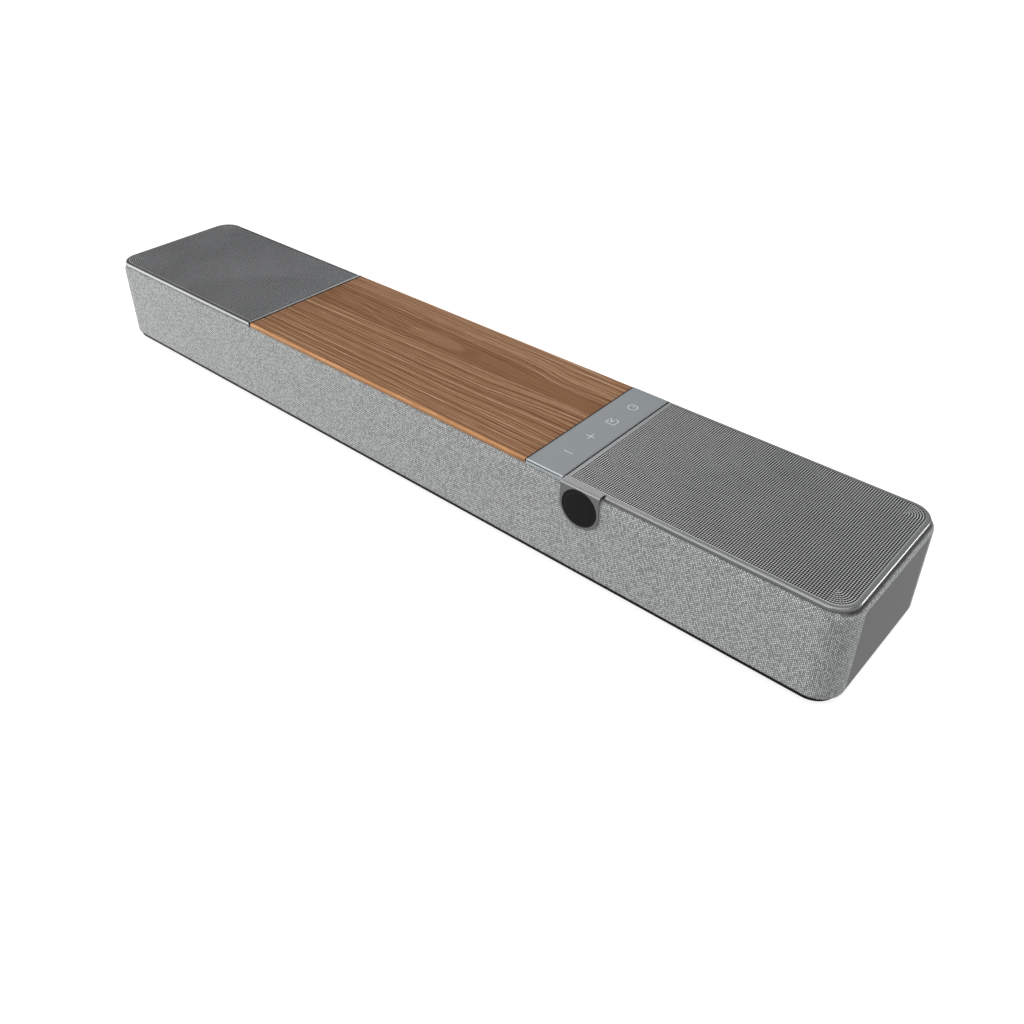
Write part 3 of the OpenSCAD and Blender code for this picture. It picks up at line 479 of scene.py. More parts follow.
def walnut_material(name):
    m = Mat(name)
    o = m.obj()
    x, y, z = m.xyz(m.scale(o, (1000.0, 1000.0, 1000.0)))
    y = m.mt("SUBTRACT", y, float(YO))
    # how the streaks above and below the flame wander along the panel
    d_top = m.curve(x, -165.0, 132.0, [(-165, 4.2), (-150, 4), (-100, 3), (-60, 1), (-20, 0), (0, -0.5), (20, -1), (40, -1.5), (65, -3.5), (80, -6), (90, -7), (125, -7.5), (132, -7.5)], -10.0, 6.0)
    w_top = m.mt("MULTIPLY", m.remap(y, 19.0, 24.0, 0.0, 1.0), m.remap(y, 34.0, 60.0, 1.0, 0.0))
    d_low = m.curve(x, -165.0, 132.0, [(-165, -2.2), (-100, -1.5), (-60, -0.5), (0, 0), (40, 0), (60, 1.5), (80, 3), (110, 5), (132, 5.6)], -4.0, 7.0)
    w_low = m.mt("MULTIPLY", m.remap(y, -30.0, -5.0, 0.0, 1.0), m.remap(y, 7.5, 11.0, 1.0, 0.0))
    v = m.mt("SUBTRACT", y, m.mt("MULTIPLY", d_top, w_top))
    v = m.mt("SUBTRACT", v, m.mt("MULTIPLY", d_low, w_low))
    warp = m.noise(m.vec(m.mt("MULTIPLY", x, 0.011), m.mt("MULTIPLY", y, 0.05), 1.7), 1.0, 2.0, 0.5)
    warp2 = m.noise(m.vec(m.mt("MULTIPLY", x, 0.045), m.mt("MULTIPLY", y, 0.22), 4.1), 1.0, 2.0, 0.5)
    v = m.mt("ADD", v, m.remap(warp, 0.3, 0.7, -0.6, 0.6, clamp=False))
    v = m.mt("ADD", v, m.remap(warp2, 0.3, 0.7, -0.18, 0.18, clamp=False))
    streak = None
    for k in range(0, len(STREAKS) - 1, 15):
        part = STREAKS[k:k + 16]
        lo, hi = part[0][0], part[-1][0]
        r = m.ramp(m.remap(v, lo, hi, 0.0, 1.0), [((q - lo) / (hi - lo), t) for q, t in part])
        streak = r if streak is None else m.mix(m.mt("GREATER_THAN", v, lo), streak, r)
    streak = m.xyz(streak)[0]
    # the calm flame: bounded by two streaks, open towards the right
    calm = m.mt("MULTIPLY", m.remap(v, 9.8, 12.2, 0.0, 1.0), m.remap(v, 26.5, 29.5, 1.0, 0.0))
    right = m.remap(x, -12.0, 8.0, 0.0, 1.0)
    quiet = m.mt("MULTIPLY", calm, m.remap(right, 0.0, 1.0, 0.45, 0.85))
    # streaks fade and return along their length
    fade = m.noise(m.vec(m.mt("MULTIPLY", x, 0.014), m.mt("MULTIPLY", v, 0.32), 2.4), 1.0, 2.0, 0.55)
    dev = m.mt("MULTIPLY", m.mt("SUBTRACT", streak, 0.47), m.remap(fade, 0.3, 0.7, 0.72, 1.30, clamp=False))
    tone = m.mt("ADD", 0.47, dev)
    broad = m.noise(m.vec(m.mt("MULTIPLY", x, 0.010), m.mt("MULTIPLY", v, 0.55), 5.2), 1.0, 2.0, 0.6)
    # thin lines: the noise less its neighbours on both sides, so that no broad bands remain
    lx = m.mt("MULTIPLY", x, 0.014)
    l0, l1, l2 = [m.noise(m.vec(lx, m.mt("MULTIPLY", m.mt("ADD", v, dv), 1.0), 6.6), 1.0, 2.0, 0.7) for dv in (0.0, 1.35, -1.35)]
    lines = m.mt("ADD", 0.5, m.mt("SUBTRACT", l0, m.mt("MULTIPLY", m.mt("ADD", l1, l2), 0.5)))
    hair = m.noise(m.vec(m.mt("MULTIPLY", x, 0.05), m.mt("MULTIPLY", y, 2.4), 9.0), 1.0, 3.0, 0.6)
    act = m.mt("SUBTRACT", 1.0, m.mt("MULTIPLY", quiet, 0.8))
    noise = m.mt("ADD", m.remap(broad, 0.3, 0.7, -0.12, 0.12, clamp=False), m.remap(lines, 0.3, 0.7, -0.56, 0.56, clamp=False))
    noise = m.mt("ADD", noise, m.remap(hair, 0.3, 0.7, -0.30, 0.30, clamp=False))
    tone = m.mt("ADD", tone, m.mt("MULTIPLY", noise, act))
    tone = m.mt("SUBTRACT", tone, m.remap(x, -130.0, -162.0, 0.0, 0.14))
    # pale curved lines and a paler tongue in the left half of the flame
    for pts, wid, amp in (
        ([(-158, 31), (-140, 30), (-120, 27.5), (-110, 25.5), (-104, 23.6)], 0.75, 0.30),
        ([(-152, 26), (-140, 24.5), (-115, 21), (-105, 18.5), (-95, 15.5), (-85, 13), (-70, 11.6)], 0.8, 0.34),
        ([(-98, 23), (-85, 21), (-75, 19), (-68, 17.5), (-60, 14), (-50, 12.4)], 0.7, 0.28),
        ([(-76, 26.2), (-65, 24), (-55, 22), (-44, 20.6)], 0.7, 0.26),
        ([(-90, 28.4), (-82, 25.8)], 0.7, 0.22),
    ):
        f = m.curve(x, -165.0, 0.0, pts, 8.0, 34.0)
        near = m.remap(m.mt("ABSOLUTE", m.mt("SUBTRACT", y, f)), wid * 0.35, wid * 1.3, 1.0, 0.0)
        span = m.mt("MULTIPLY", m.remap(x, pts[0][0] - 2, pts[0][0] + 3, 0.0, 1.0), m.remap(x, pts[-1][0] - 3, pts[-1][0] + 3, 1.0, 0.0))
        tone = m.mt("ADD", tone, m.mt("MULTIPLY", m.mt("MULTIPLY", near, span), amp))
    ex, ey = m.mt("DIVIDE", m.mt("ADD", x, 31.0), 31.0), m.mt("DIVIDE", m.mt("SUBTRACT", y, 19.6), 7.2)
    tongue = m.remap(m.mt("ADD", m.mt("MULTIPLY", ex, ex), m.mt("MULTIPLY", ey, ey)), 0.72, 1.05, 1.0, 0.0)
    tone = m.mt("ADD", tone, m.mt("MULTIPLY", tongue, 0.24))
    sx, sy = m.mt("DIVIDE", m.mt("SUBTRACT", x, 7.0), 9.0), m.mt("DIVIDE", m.mt("SUBTRACT", y, 20.0), 6.0)
    spot = m.remap(m.mt("ADD", m.mt("MULTIPLY", sx, sx), m.mt("MULTIPLY", sy, sy)), 0.1, 1.2, 0.14, 0.0)
    tone = m.mt("SUBTRACT", tone, spot)
    wood = m.ramp(m.remap(tone, -0.2, 1.3, 0.0, 1.0), [
        (0.00, srgb(108, 73, 50, W_GAIN, W_LIFT)), (0.15, srgb(121, 85, 60, W_GAIN, W_LIFT)), (0.27, srgb(128, 92, 67, W_GAIN, W_LIFT)),
        (0.36, srgb(133, 97, 71, W_GAIN, W_LIFT)), (0.46, srgb(140, 104, 78, W_GAIN, W_LIFT)), (0.58, srgb(148, 113, 86, W_GAIN, W_LIFT)),
        (0.70, srgb(156, 121, 93, W_GAIN, W_LIFT)), (0.82, srgb(165, 131, 103, W_GAIN, W_LIFT)), (1.00, srgb(180, 148, 120, W_GAIN, W_LIFT))])
    # open pores: short dark dashes along the grain
    pore = m.noise(m.vec(m.mt("MULTIPLY", x, 0.34), m.mt("MULTIPLY", y, 2.6), 0.0), 1.0, 1.0, 0.5)
    pore2 = m.noise(m.vec(m.mt("MULTIPLY", x, 0.9), m.mt("MULTIPLY", y, 7.5), 2.0), 1.0, 1.0, 0.5)
    pores = m.mt("MAXIMUM", m.remap(pore, 0.62, 0.74, 0.0, 1.0), m.remap(pore2, 0.64, 0.76, 0.0, 0.8))
    pores = m.mt("MULTIPLY", pores, m.mt("MULTIPLY", act, 0.6))
    wood = m.mix(pores, wood, (0.030, 0.013, 0.006))
    # the lipping along the rounded long edges is paler and more orange, partly its own tone and partly a painted
    # highlight
    edge = m.mt("ADD", m.mt("ABSOLUTE", y), m.remap(lines, 0.3, 0.7, -0.35, 0.35))
    lip = m.mt("MAXIMUM", m.remap(edge, WY - 2.1, WY - 0.9, 0.0, 1.0), m.remap(z, TOP - 0.6, TOP - 1.0, 0.0, 1.0))
    lipgrain = m.noise(m.vec(m.mt("MULTIPLY", x, 0.06), m.mt("MULTIPLY", z, 1.6), m.mt("MULTIPLY", y, 1.2)), 1.0, 3.0, 0.6)
    lip_tone_and_highlight = m.ramp(lipgrain, [(0.3, srgb(190, 134, 90, 1.5, 0.01)), (0.5, srgb(206, 150, 102, 1.5, 0.01)), (0.7, srgb(220, 168, 120, 1.5, 0.01))])
    # painted shade: the lower part of the lipping is painted darker towards the cloth
    lip_tone_and_highlight = m.mix(m.remap(z, TOP - 0.9, TOP - 1.9, 0.0, 0.40), lip_tone_and_highlight, (0.20, 0.088, 0.040))
    wood = m.mix(m.mt("MULTIPLY", lip, 0.92), wood, lip_tone_and_highlight)
    m.set("Base Color", wood)
    m.set("Roughness", m.mt("ADD", m.remap(tone, 0.1, 0.9, 0.56, 0.48), m.mt("MULTIPLY", pores, 0.2)))
    m.set("Specular IOR Level", 0.16)
    hgt = m.mt("SUBTRACT", m.mt("MULTIPLY", lines, 0.4), pores)
    m.set("Normal", m.bump(hgt, 0.00004, 0.5))
    return m.m


M = {}
# the left and right grilles are one metal; their bases differ as painted light and shade
G_R, G_L = (0.240, 0.240, 0.240), (0.205, 0.207, 0.210)
F_R, F_L = (0.66, 0.66, 0.66), (0.68, 0.684, 0.692)
M["grille_r"] = grille_material("grille_sheet_right", G_R, 0.25, 0.8)
M["grille_l"] = grille_material("grille_sheet_left", G_L, 0.25, 0.8)
M["field_r"] = grille_material("grille_field_right", F_R, 0.40, 0.8, G_R)
M["field_l"] = grille_material("grille_field_left", F_L, 0.40, 0.8, G_L)
M["cloth"] = cloth_material("grey_melange_cloth", (0.020, 0.021, 0.020), (0.150, 0.154, 0.150), (0.83, 0.845, 0.825))
M["walnut"] = walnut_material("walnut_veneer")


def film_material():
    m = Mat("control_film")
    o = m.obj()
    fine = m.noise(o, 6000.0, 2.0, 0.6)
    cloud = m.noise(o, 18.0, 3.0)
    c = m.mix(m.remap(cloud, 0.3, 0.7, 0.0, 1.0), (0.158, 0.171, 0.178), (0.171, 0.184, 0.191))
    # painted highlight: a paler band along the film's rolled front edge
    y = m.mt("SUBTRACT", m.xyz(m.scale(o, (1000.0, 1000.0, 1000.0)))[1], float(YO))
    c = m.mix(m.remap(y, -SY + 1.05, -SY + 0.85, 0.0, 1.0), c, (0.40, 0.42, 0.43))
    m.set("Base Color", c)
    m.set("Roughness", m.mt("ADD", m.remap(cloud, 0.3, 0.7, 0.33, 0.38), m.remap(fine, 0.3, 0.7, -0.03, 0.03)))
    m.set("Normal", m.bump(fine, 0.000004, 0.7))
    m.set("Metallic", 0.15)
    return m.m


def ink_material():
    m = Mat("symbol_ink")
    o = m.obj()
    fine = m.noise(o, 4000.0, 2.0)
    m.set("Base Color", m.mix(m.remap(fine, 0.3, 0.7, 0.0, 1.0), (0.46, 0.48, 0.49), (0.52, 0.54, 0.55)))
    m.set("Roughness", m.remap(fine, 0.3, 0.7, 0.5, 0.6))
    m.set("Normal", m.bump(fine, 0.000005, 0.5))
    return m.m


M["film"] = film_material()
M["ink"] = ink_material()
M["black"] = moulded("black_moulded", (0.018, 0.018, 0.019), 0.52, 0.02)
M["base"] = moulded("base_moulded", (0.006, 0.006, 0.0065), 0.6, 0.03, 1800.0, 0.14, 0.15)
M["liner"] = moulded("liner_felt", (0.006, 0.006, 0.006), 0.95, 0.12, 1500.0, 0.3, 0.1)
# painted shade: black strips for the shade in the panel joints
M["gasket"] = moulded("gasket_foam", (0.006, 0.006, 0.006), 0.95, 0.06, 1800.0, 0.3, 0.05)
M["rubber"] = moulded("foot_rubber", (0.022, 0.022, 0.022), 0.75, 0.03, 1400.0, 0.2, 0.3)
M["surround"] = moulded("surround_rubber", (0.016, 0.016, 0.016), 0.6, 0.01, 900.0, 0.15, 0.4)
M["cone"] = moulded("cone_pulp", (0.025, 0.024, 0.023), 0.85, 0.10, 700.0, 0.35, 0.2)
M["spider"] = moulded("spider_cloth", (0.42, 0.28, 0.10), 0.85, 0.10, 1300.0, 0.25, 0.2)
M["core"] = moulded("core_fibreboard", (0.42, 0.29, 0.17), 0.9, 0.10, 900.0, 0.2, 0.15)
M["carrier"] = moulded("strip_carrier", (0.320, 0.345, 0.352), 0.42, 0.008, 4000.0, 0.05, 0.5)
M["lens"] = moulded("light_guide", (0.012, 0.012, 0.014), 0.18, 0.002, 800.0, 0.2, 0.6)
M["pcb"] = moulded("circuit_board", (0.010, 0.085, 0.035), 0.32, 0.02, 500.0, 0.35, 0.5)
M["driver"] = moulded("driver_paint", (0.03, 0.03, 0.032), 0.4, 0.02, 2200.0, 0.12, 0.5)
M["motor"] = metal("zinc_steel", (0.42, 0.43, 0.45), 0.38)
M["alu"] = metal("spun_aluminium", (0.66, 0.67, 0.68), 0.3)
M["sink"] = metal("extruded_aluminium", (0.50, 0.51, 0.53), 0.42, (60.0, 900.0, 60.0))
M["copper"] = metal("coil_copper", (0.55, 0.24, 0.09), 0.32, (60.0, 60.0, 2600.0), 0.2, 0.02)
M["nickel"] = metal("nickel_plate", (0.62, 0.60, 0.56), 0.22)
M["brass"] = metal("turned_brass", (0.62, 0.44, 0.16), 0.28, (400.0, 1400.0, 400.0))
M["screw"] = metal("black_zinc", (0.06, 0.06, 0.065), 0.38, (300.0, 300.0, 300.0), 0.2)


# ------------------------------------------------------------------ perforated grilles
O_F = 2.6
HN = 12


def hole_ring(cx, cy, rot=0.0):
    a = rot + np.arange(HN) * 2 * math.pi / HN
    return np.stack([cx + HOLE_R * np.cos(a), cy + HOLE_R * np.sin(a)], 1)


def plate_xy(cols, x0):
    """Cell corner lines of the field's columns and rows."""
    xs = x0 - PITCH / 2 + np.arange(cols + 1) * PITCH
    ys = Y_FIRST - PITCH_Y / 2 + np.arange(ROWS + 1) * PITCH_Y
    return xs, ys


def grid_cells(sel, xs, ys, x0, mirror):
    """Top, bottom and hole walls for the cells (k, j) in sel."""
    nx, ny = len(xs), len(ys)
    k, j = sel[:, 0], sel[:, 1]
    sgn = -1.0 if mirror else 1.0
    gx, gy = np.meshgrid(xs, ys, indexing="ij")
    corner = np.stack([sgn * gx.ravel(), gy.ravel()], 1)
    cx, cy = x0 + k * PITCH, Y_FIRST + j * PITCH_Y
    a = np.arange(HN) * 2 * math.pi / HN
    hx = sgn * (cx[:, None] + HOLE_R * np.cos(a)[None])
    hy = cy[:, None] + HOLE_R * np.sin(a)[None]
    holes = np.stack([hx.ravel(), hy.ravel()], 1)
    nc, nh = len(corner), len(holes)
    v = np.concatenate([
        np.c_[corner, np.full(nc, TOP)], np.c_[holes, np.full(nh, TOP)],
        np.c_[corner, np.full(nc, UNDER)], np.c_[holes, np.full(nh, UNDER)]])
    q = HN // 4
    cid = lambda dk, dj: (k + dk) * ny + (j + dj)
    c = [cid(1, 1), cid(0, 1), cid(0, 0), cid(1, 0)]  # by quadrant
    hid = lambda i: nc + np.arange(len(k)) * HN + (i % HN)
    tri = []
    for s in range(4):
        for i in range(q):
            tri.append(np.stack([c[s], hid(s * q + i + 1), hid(s * q + i)], 1))
        tri.append(np.stack([c[s - 1], c[s], hid(s * q)], 1))
    top = np.concatenate(tri)
    bot = top[:, ::-1] + nc + nh
    wall = []
    for i in range(HN):
        t0, t1 = hid(i), hid(i + 1)
        wall.append(np.stack([t0, t1, t1 + nc + nh, t0 + nc + nh], 1))
    wall = np.concatenate(wall)
    if mirror:
        top, bot, wall = top[:, ::-1], bot[:, ::-1], wall[:, ::-1]
    return v, top, bot, wall


def ring_offsets():
    """Holes of the rounded corner: rings round the corner's centre, from the outermost inwards."""
    pts = [(0.0, 0.0)]
    for k in range(1, BLK + 1):
        n = max(1, round(math.pi / 2 * k * 0.985))
        if k == 1:
            n = 1
        for i in range(n + 1):
            a = math.pi / 2 * i / n
            pts.append((k * PITCH * math.cos(a), k * PITCH * math.sin(a)))
    return pts


def corner_block(cols, x0, front, mirror):
    """The rounded corner of a field: rings of holes, triangulated up to the rim's inner line."""
    sgn = -1.0 if mirror else 1.0
    sy = -1.0 if front else 1.0
    kc = cols - 1 - BLK
    xc = x0 + kc * PITCH
    xb = xc - PITCH / 2
    jc = BLK if front else ROWS - 1 - BLK
    yc = Y_FIRST + jc * PITCH_Y
    yb = yc - sy * PITCH_Y / 2
    yf = sy * (PY - O_F)
    xf = PX - O_F
    ax, ay, ar = PX - PLATE_R, sy * (PY - PLATE_R), PLATE_R - O_F
    out = [(xb, yf)] + [(xb, yc + sy * (BLK + 0.5 - i) * PITCH_Y) for i in range(BLK + 2)]
    out += [(xb + i * PITCH, yb) for i in range(1, BLK + 2)] + [(xf, yb)]
    a0, a1 = (0, -90) if front else (0, 90)
    out += arc(ax, ay, ar, a0, a1, 16)
    holes = [(xc + dx, yc + sy * dy) for dx, dy in ring_offsets()]
    verts, edges = [Vector(p) for p in out], [(i, (i + 1) % len(out)) for i in range(len(out))]
    rings = []
    for cx, cy in holes:
        rot = math.atan2(cy - yc, cx - xc) if (cx, cy) != (xc, yc) else 0.0
        ring = hole_ring(cx, cy, rot)
        s = len(verts)
        verts += [Vector(p) for p in ring]
        edges += [(s + i, s + (i + 1) % HN) for i in range(HN)]
        rings.append(list(range(s, s + HN)))
    vo, _, fo, ov, _, _ = delaunay_2d_cdt(verts, edges, [], 1, 1e-6)
    vo = np.array([tuple(p) for p in vo])
    back = {}
    for new, olds in enumerate(ov):
        for i in olds:
            back[i] = new
    hc = np.array(holes)
    faces = []
    for f in fo:
        g = vo[list(f)].mean(0)
        if np.min(np.hypot(hc[:, 0] - g[0], hc[:, 1] - g[1])) < HOLE_R * 0.93:
            continue
        a, b, c = vo[f[0]], vo[f[1]], vo[f[2]]
        ccw = (b[0] - a[0]) * (c[1] - a[1]) - (b[1] - a[1]) * (c[0] - a[0]) > 0
        faces.append(tuple(f) if ccw else tuple(f[::-1]))
    n = len(vo)
    pts = np.c_[sgn * vo[:, 0], vo[:, 1]]
    v = np.concatenate([np.c_[pts, np.full(n, TOP)], np.c_[pts, np.full(n, UNDER)]])
    top = np.array(faces)
    if mirror:
        top = top[:, ::-1]
    bot = top[:, ::-1] + n
    wall = []
    for r in rings:
        for i in range(HN):
            t0, t1 = back[r[i]], back[r[(i + 1) % HN]]
            q = (t0, t1, t1 + n, t0 + n)
            wall.append(q[::-1] if mirror else q)
    return v, top, bot, np.array(wall)


def build_field(name, cols, x0, mirror, mat, node):
    xs, ys = plate_xy(cols, x0)
    kc = cols - 1 - BLK
    cuts = [0, (cols - BLK - 1) // 3, 2 * (cols - BLK - 1) // 3, cols]
    made = []
    sgn = -1.0 if mirror else 1.0
    for n in range(3):
        ks = np.arange(cuts[n], cuts[n + 1])
        kk, jj = np.meshgrid(ks, np.arange(ROWS), indexing="ij")
        sel = np.stack([kk.ravel(), jj.ravel()], 1)
        if n == 2:
            keep = ~((sel[:, 0] >= kc) & ((sel[:, 1] <= BLK) | (sel[:, 1] >= ROWS - 1 - BLK)))
            sel = sel[keep]
        v, top, bot, wall = grid_cells(sel, xs, ys, x0, mirror)
        used = np.unique(np.concatenate([top.ravel(), bot.ravel(), wall.ravel()]))
        remap = np.full(len(v), -1)
        remap[used] = np.arange(len(used))
        vs, fs = [v[used]], [remap[top], remap[bot], remap[wall]]
        off = len(used)
        # plain strips between the outer cells and the rim
        end = min(cuts[n + 1], kc)
        for side in (-1, 1):
            y_in, y_out = (ys[0], -(PY - O_F)) if side < 0 else (ys[-1], PY - O_F)
            for z, up in ((TOP, True), (UNDER, False)):
                line = xs[cuts[n]:end + 1]
                a = np.c_[sgn * line, np.full(len(line), y_in), np.full(len(line), z)]
                b = np.c_[sgn * line, np.full(len(line), y_out), np.full(len(line), z)]
                i = np.arange(len(line) - 1)
                q = np.stack([off + i, off + i + 1, off + len(line) + i + 1, off + len(line) + i], 1)
                if (side < 0) == up:
                    q = q[:, ::-1]
                if mirror:
                    q = q[:, ::-1]
                vs += [a, b]
                fs.append(q)
                off += 2 * len(line)
        if n == 2:
            line = ys[BLK + 1:ROWS - BLK]
            for z, up in ((TOP, True), (UNDER, False)):
                a = np.c_[np.full(len(line), sgn * xs[-1]), line, np.full(len(line), z)]
                b = np.c_[np.full(len(line), sgn * (PX - O_F)), line, np.full(len(line), z)]
                i = np.arange(len(line) - 1)
                q = np.stack([off + i, off + len(line) + i, off + len(line) + i + 1, off + i + 1], 1)
                if not up:
                    q = q[:, ::-1]
                if mirror:
                    q = q[:, ::-1]
                vs += [a, b]
                fs.append(q)
                off += 2 * len(line)
            for front in (True, False):
                bv, bt, bb, bw = corner_block(cols, x0, front, mirror)
                vs.append(bv)
                fs += [bt + off, bb + off, bw + off]
                off += len(bv)
        faces = [f for part in fs for f in part.tolist()]
        ob = make(f"{name}_field_{'abc'[n]}", np.concatenate(vs), faces, mat, sharp=None)
        bm_merge(ob)
        ob.data.set_sharp_from_angle(angle=math.radians(35))
        made.append(ob)
    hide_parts(node)
    return made


def bm_merge(ob, dist=1e-7):
    import bmesh
    bm = bmesh.new()
    bm.from_mesh(ob.data)
    bmesh.ops.remove_doubles(bm, verts=bm.verts, dist=dist)
    bm.to_mesh(ob.data)
    bm.free()
    ob.data.update()


def rim_profile(first, r, z_low):
    """Section of a folded edge: (distance inwards from the outline, height)."""
    t = SHEET
    p = [(first, TOP)]
    p += [(r - r * math.sin(math.radians(a)), TOP - r + r * math.cos(math.radians(a))) for a in range(0, 91, 15)]
    p += [(0.0, z_low + 1.0), (0.0, z_low + 0.18), (0.06, z_low + 0.05), (0.2, z_low), (t - 0.2, z_low), (t - 0.06, z_low + 0.05), (t, z_low + 0.18)]
    p += [(t, UNDER - 0.35), (t + 0.1, UNDER - 0.1), (t + 0.35, UNDER), (max(first, t + 0.4), UNDER)]
    return p


def build_rim(name, x0, cols_x0, cols, mirror, front_from, mat):
    """front_from: where the front fold begins, or None when it begins at the inner edge."""
    sgn = -1.0 if mirror else 1.0
    outer = rim_profile(O_F, 1.25, SKIRT_Z)
    inner = rim_profile(cols_x0 - PITCH / 2 - x0, 0.45, SKIRT_Z + 0.3)
    xs, ys = plate_xy(cols, cols_x0)
    rings = []

    def ring(fn, prof):
        pts = []
        for i, (o, z) in enumerate(prof):
            x, y = fn(i, o)
            pts.append((sgn * x, y, z))
        rings.append(pts)

    ax, ay = PX - PLATE_R, PY - PLATE_R
    if front_from is None:
        for prof in (inner, outer):
            ring(lambda i, o: (x0 + inner[i][0], -PY + outer[i][0]), prof)
    else:
        ring(lambda i, o: (front_from, -PY + o), outer)
    for x in xs[(xs > (front_from or x0) + 1.0) & (xs < ax - 0.3)]:
        ring(lambda i, o: (x, -PY + o), outer)
    for a in np.linspace(-90, 0, 17):
        c, s = math.cos(math.radians(a)), math.sin(math.radians(a))
        ring(lambda i, o: (ax + (PLATE_R - o) * c, -ay + (PLATE_R - o) * s), outer)
    for y in ys[(ys > -ay + 0.3) & (ys < ay - 0.3)]:
        ring(lambda i, o: (PX - o, y), outer)
    for a in np.linspace(0, 90, 17):
        c, s = math.cos(math.radians(a)), math.sin(math.radians(a))
        ring(lambda i, o: (ax + (PLATE_R - o) * c, ay + (PLATE_R - o) * s), outer)
    for x in xs[(xs > x0 + 1.0) & (xs < ax - 0.3)][::-1]:
        ring(lambda i, o: (x, PY - o), outer)
    for prof in (outer, inner):
        ring(lambda i, o: (x0 + inner[i][0], PY - outer[i][0]), prof)
    low = -(PY - O_F)
    for y in ys[(ys > low + 0.3) & (ys < PY - O_F - 0.3)][::-1]:
        ring(lambda i, o: (x0 + o, y), inner)
    if front_from is not None:
        ring(lambda i, o: (x0 + o, low), inner)
    m = Mesh()
    m.loft(rings, closed_ring=False, closed_path=front_from is None, flip=not mirror)
    if front_from is not None:
        n = len(outer)
        first, last = list(range(n)), list(range((len(rings) - 1) * n, len(rings) * n))
        m.f.append(tuple(first))
        m.f.append(tuple(last[::-1]))
    ob = make(name, m.v, m.f, mat, sharp=40)
    return ob


R_COLS, R_X0 = 117, X_LAST - 116 * PITCH
L_COLS, L_X0 = 116, X_LAST - 115 * PITCH
build_field("grille_right", R_COLS, R_X0, False, M["field_r"], "grille_right")
build_field("grille_left", L_COLS, L_X0, True, M["field_l"], "grille_left")
TAB_X1 = 2 * DISC_X - (GR_X0 + 0.2)
NOTCH = 1.5
build_rim("grille_right_rim", GR_X0, R_X0, R_COLS, False, TAB_X1 + NOTCH, M["grille_r"])
build_rim("grille_left_rim", GL_X0, L_X0, L_COLS, True, None, M["grille_l"])


# ---- the tab: the sheet runs on over the front edge, bends down and ends in a half round
def build_tab():
    cx, rr = DISC_X, (TAB_X1 - GR_X0 - 0.2) / 2
    zc = DISC_Z
    br = 1.7
    y0 = -(PY - O_F)
    yb, zb = TAB_Y + br, TOP - br
    rows = []  # (y, z, ny, nz, xl, xr): outer surface point and normal
    for i in range(6):
        t = i / 5
        rows.append((y0 + (yb - y0) * t, TOP, 0, 1, GR_X0 + 0.2 * min(1, t * 2), TAB_X1))
    for i in range(1, 9):
        a = math.radians(90 * i / 8)
        rows.append((yb - br * math.sin(a), zb + br * math.cos(a), -math.sin(a), math.cos(a), GR_X0 + 0.2, TAB_X1))
    for i in range(1, 7):
        rows.append((TAB_Y, zb + (zc - zb) * i / 6, -1, 0, GR_X0 + 0.2, TAB_X1))
    for i in range(1, 20):
        a = math.radians(90 * i / 20)
        rows.append((TAB_Y, zc - rr * math.sin(a), -1, 0, cx - rr * math.cos(a), cx + rr * math.cos(a)))
    n = 26
    m = Mesh()
    edge = 0.16
    outer, inner = [], []
    for y, z, ny, nz, xl, xr in rows:
        xs = [xl + (xr - xl) * i / n for i in range(n + 1)]
        outer.append(m.add([(x, y, z) for x in xs]))
        inner.append(m.add([(x, y - ny * SHEET, z - nz * SHEET) for x in xs]))
    tip_o = m.add([(cx, TAB_Y, zc - rr)])[0]
    tip_i = m.add([(cx, TAB_Y + SHEET, zc - rr)])[0]
    for a, b, c, d in zip(outer, outer[1:], inner, inner[1:]):
        for i in range(n):
            m.f.append((a[i], b[i], b[i + 1], a[i + 1]))
            m.f.append((c[i], c[i + 1], d[i + 1], d[i]))
        m.f.append((a[0], c[0], d[0], b[0]))
        m.f.append((a[n], b[n], d[n], c[n]))
    for i in range(n):
        m.f.append((outer[-1][i], tip_o, outer[-1][i + 1]))
        m.f.append((inner[-1][i], inner[-1][i + 1], tip_i))
    m.f.append((outer[-1][0], inner[-1][0], tip_i, tip_o))
    m.f.append((outer[-1][n], tip_o, tip_i, inner[-1][n]))
    for i in range(n):
        m.f.append((outer[0][i], outer[0][i + 1], inner[0][i + 1], inner[0][i]))
    # the sheet's root beside the relief notch
    m.prism([(TAB_X1 - 0.01, y0), (TAB_X1 - 0.01, y0 - 0.45), (TAB_X1 + 0.35, y0 - 0.5), (TAB_X1 + NOTCH, y0 - 0.5), (TAB_X1 + NOTCH, y0)], UNDER, TOP)
    ob = make("grille_right_tab", m.v, m.f, M["grille_r"], sharp=40)
    bev = ob.modifiers.new("edge", "BEVEL")
    bev.width, bev.segments, bev.limit_method, bev.angle_limit = edge / 1000, 2, "ANGLE", math.radians(60)
    bev.harden_normals = False
    return ob


build_tab()


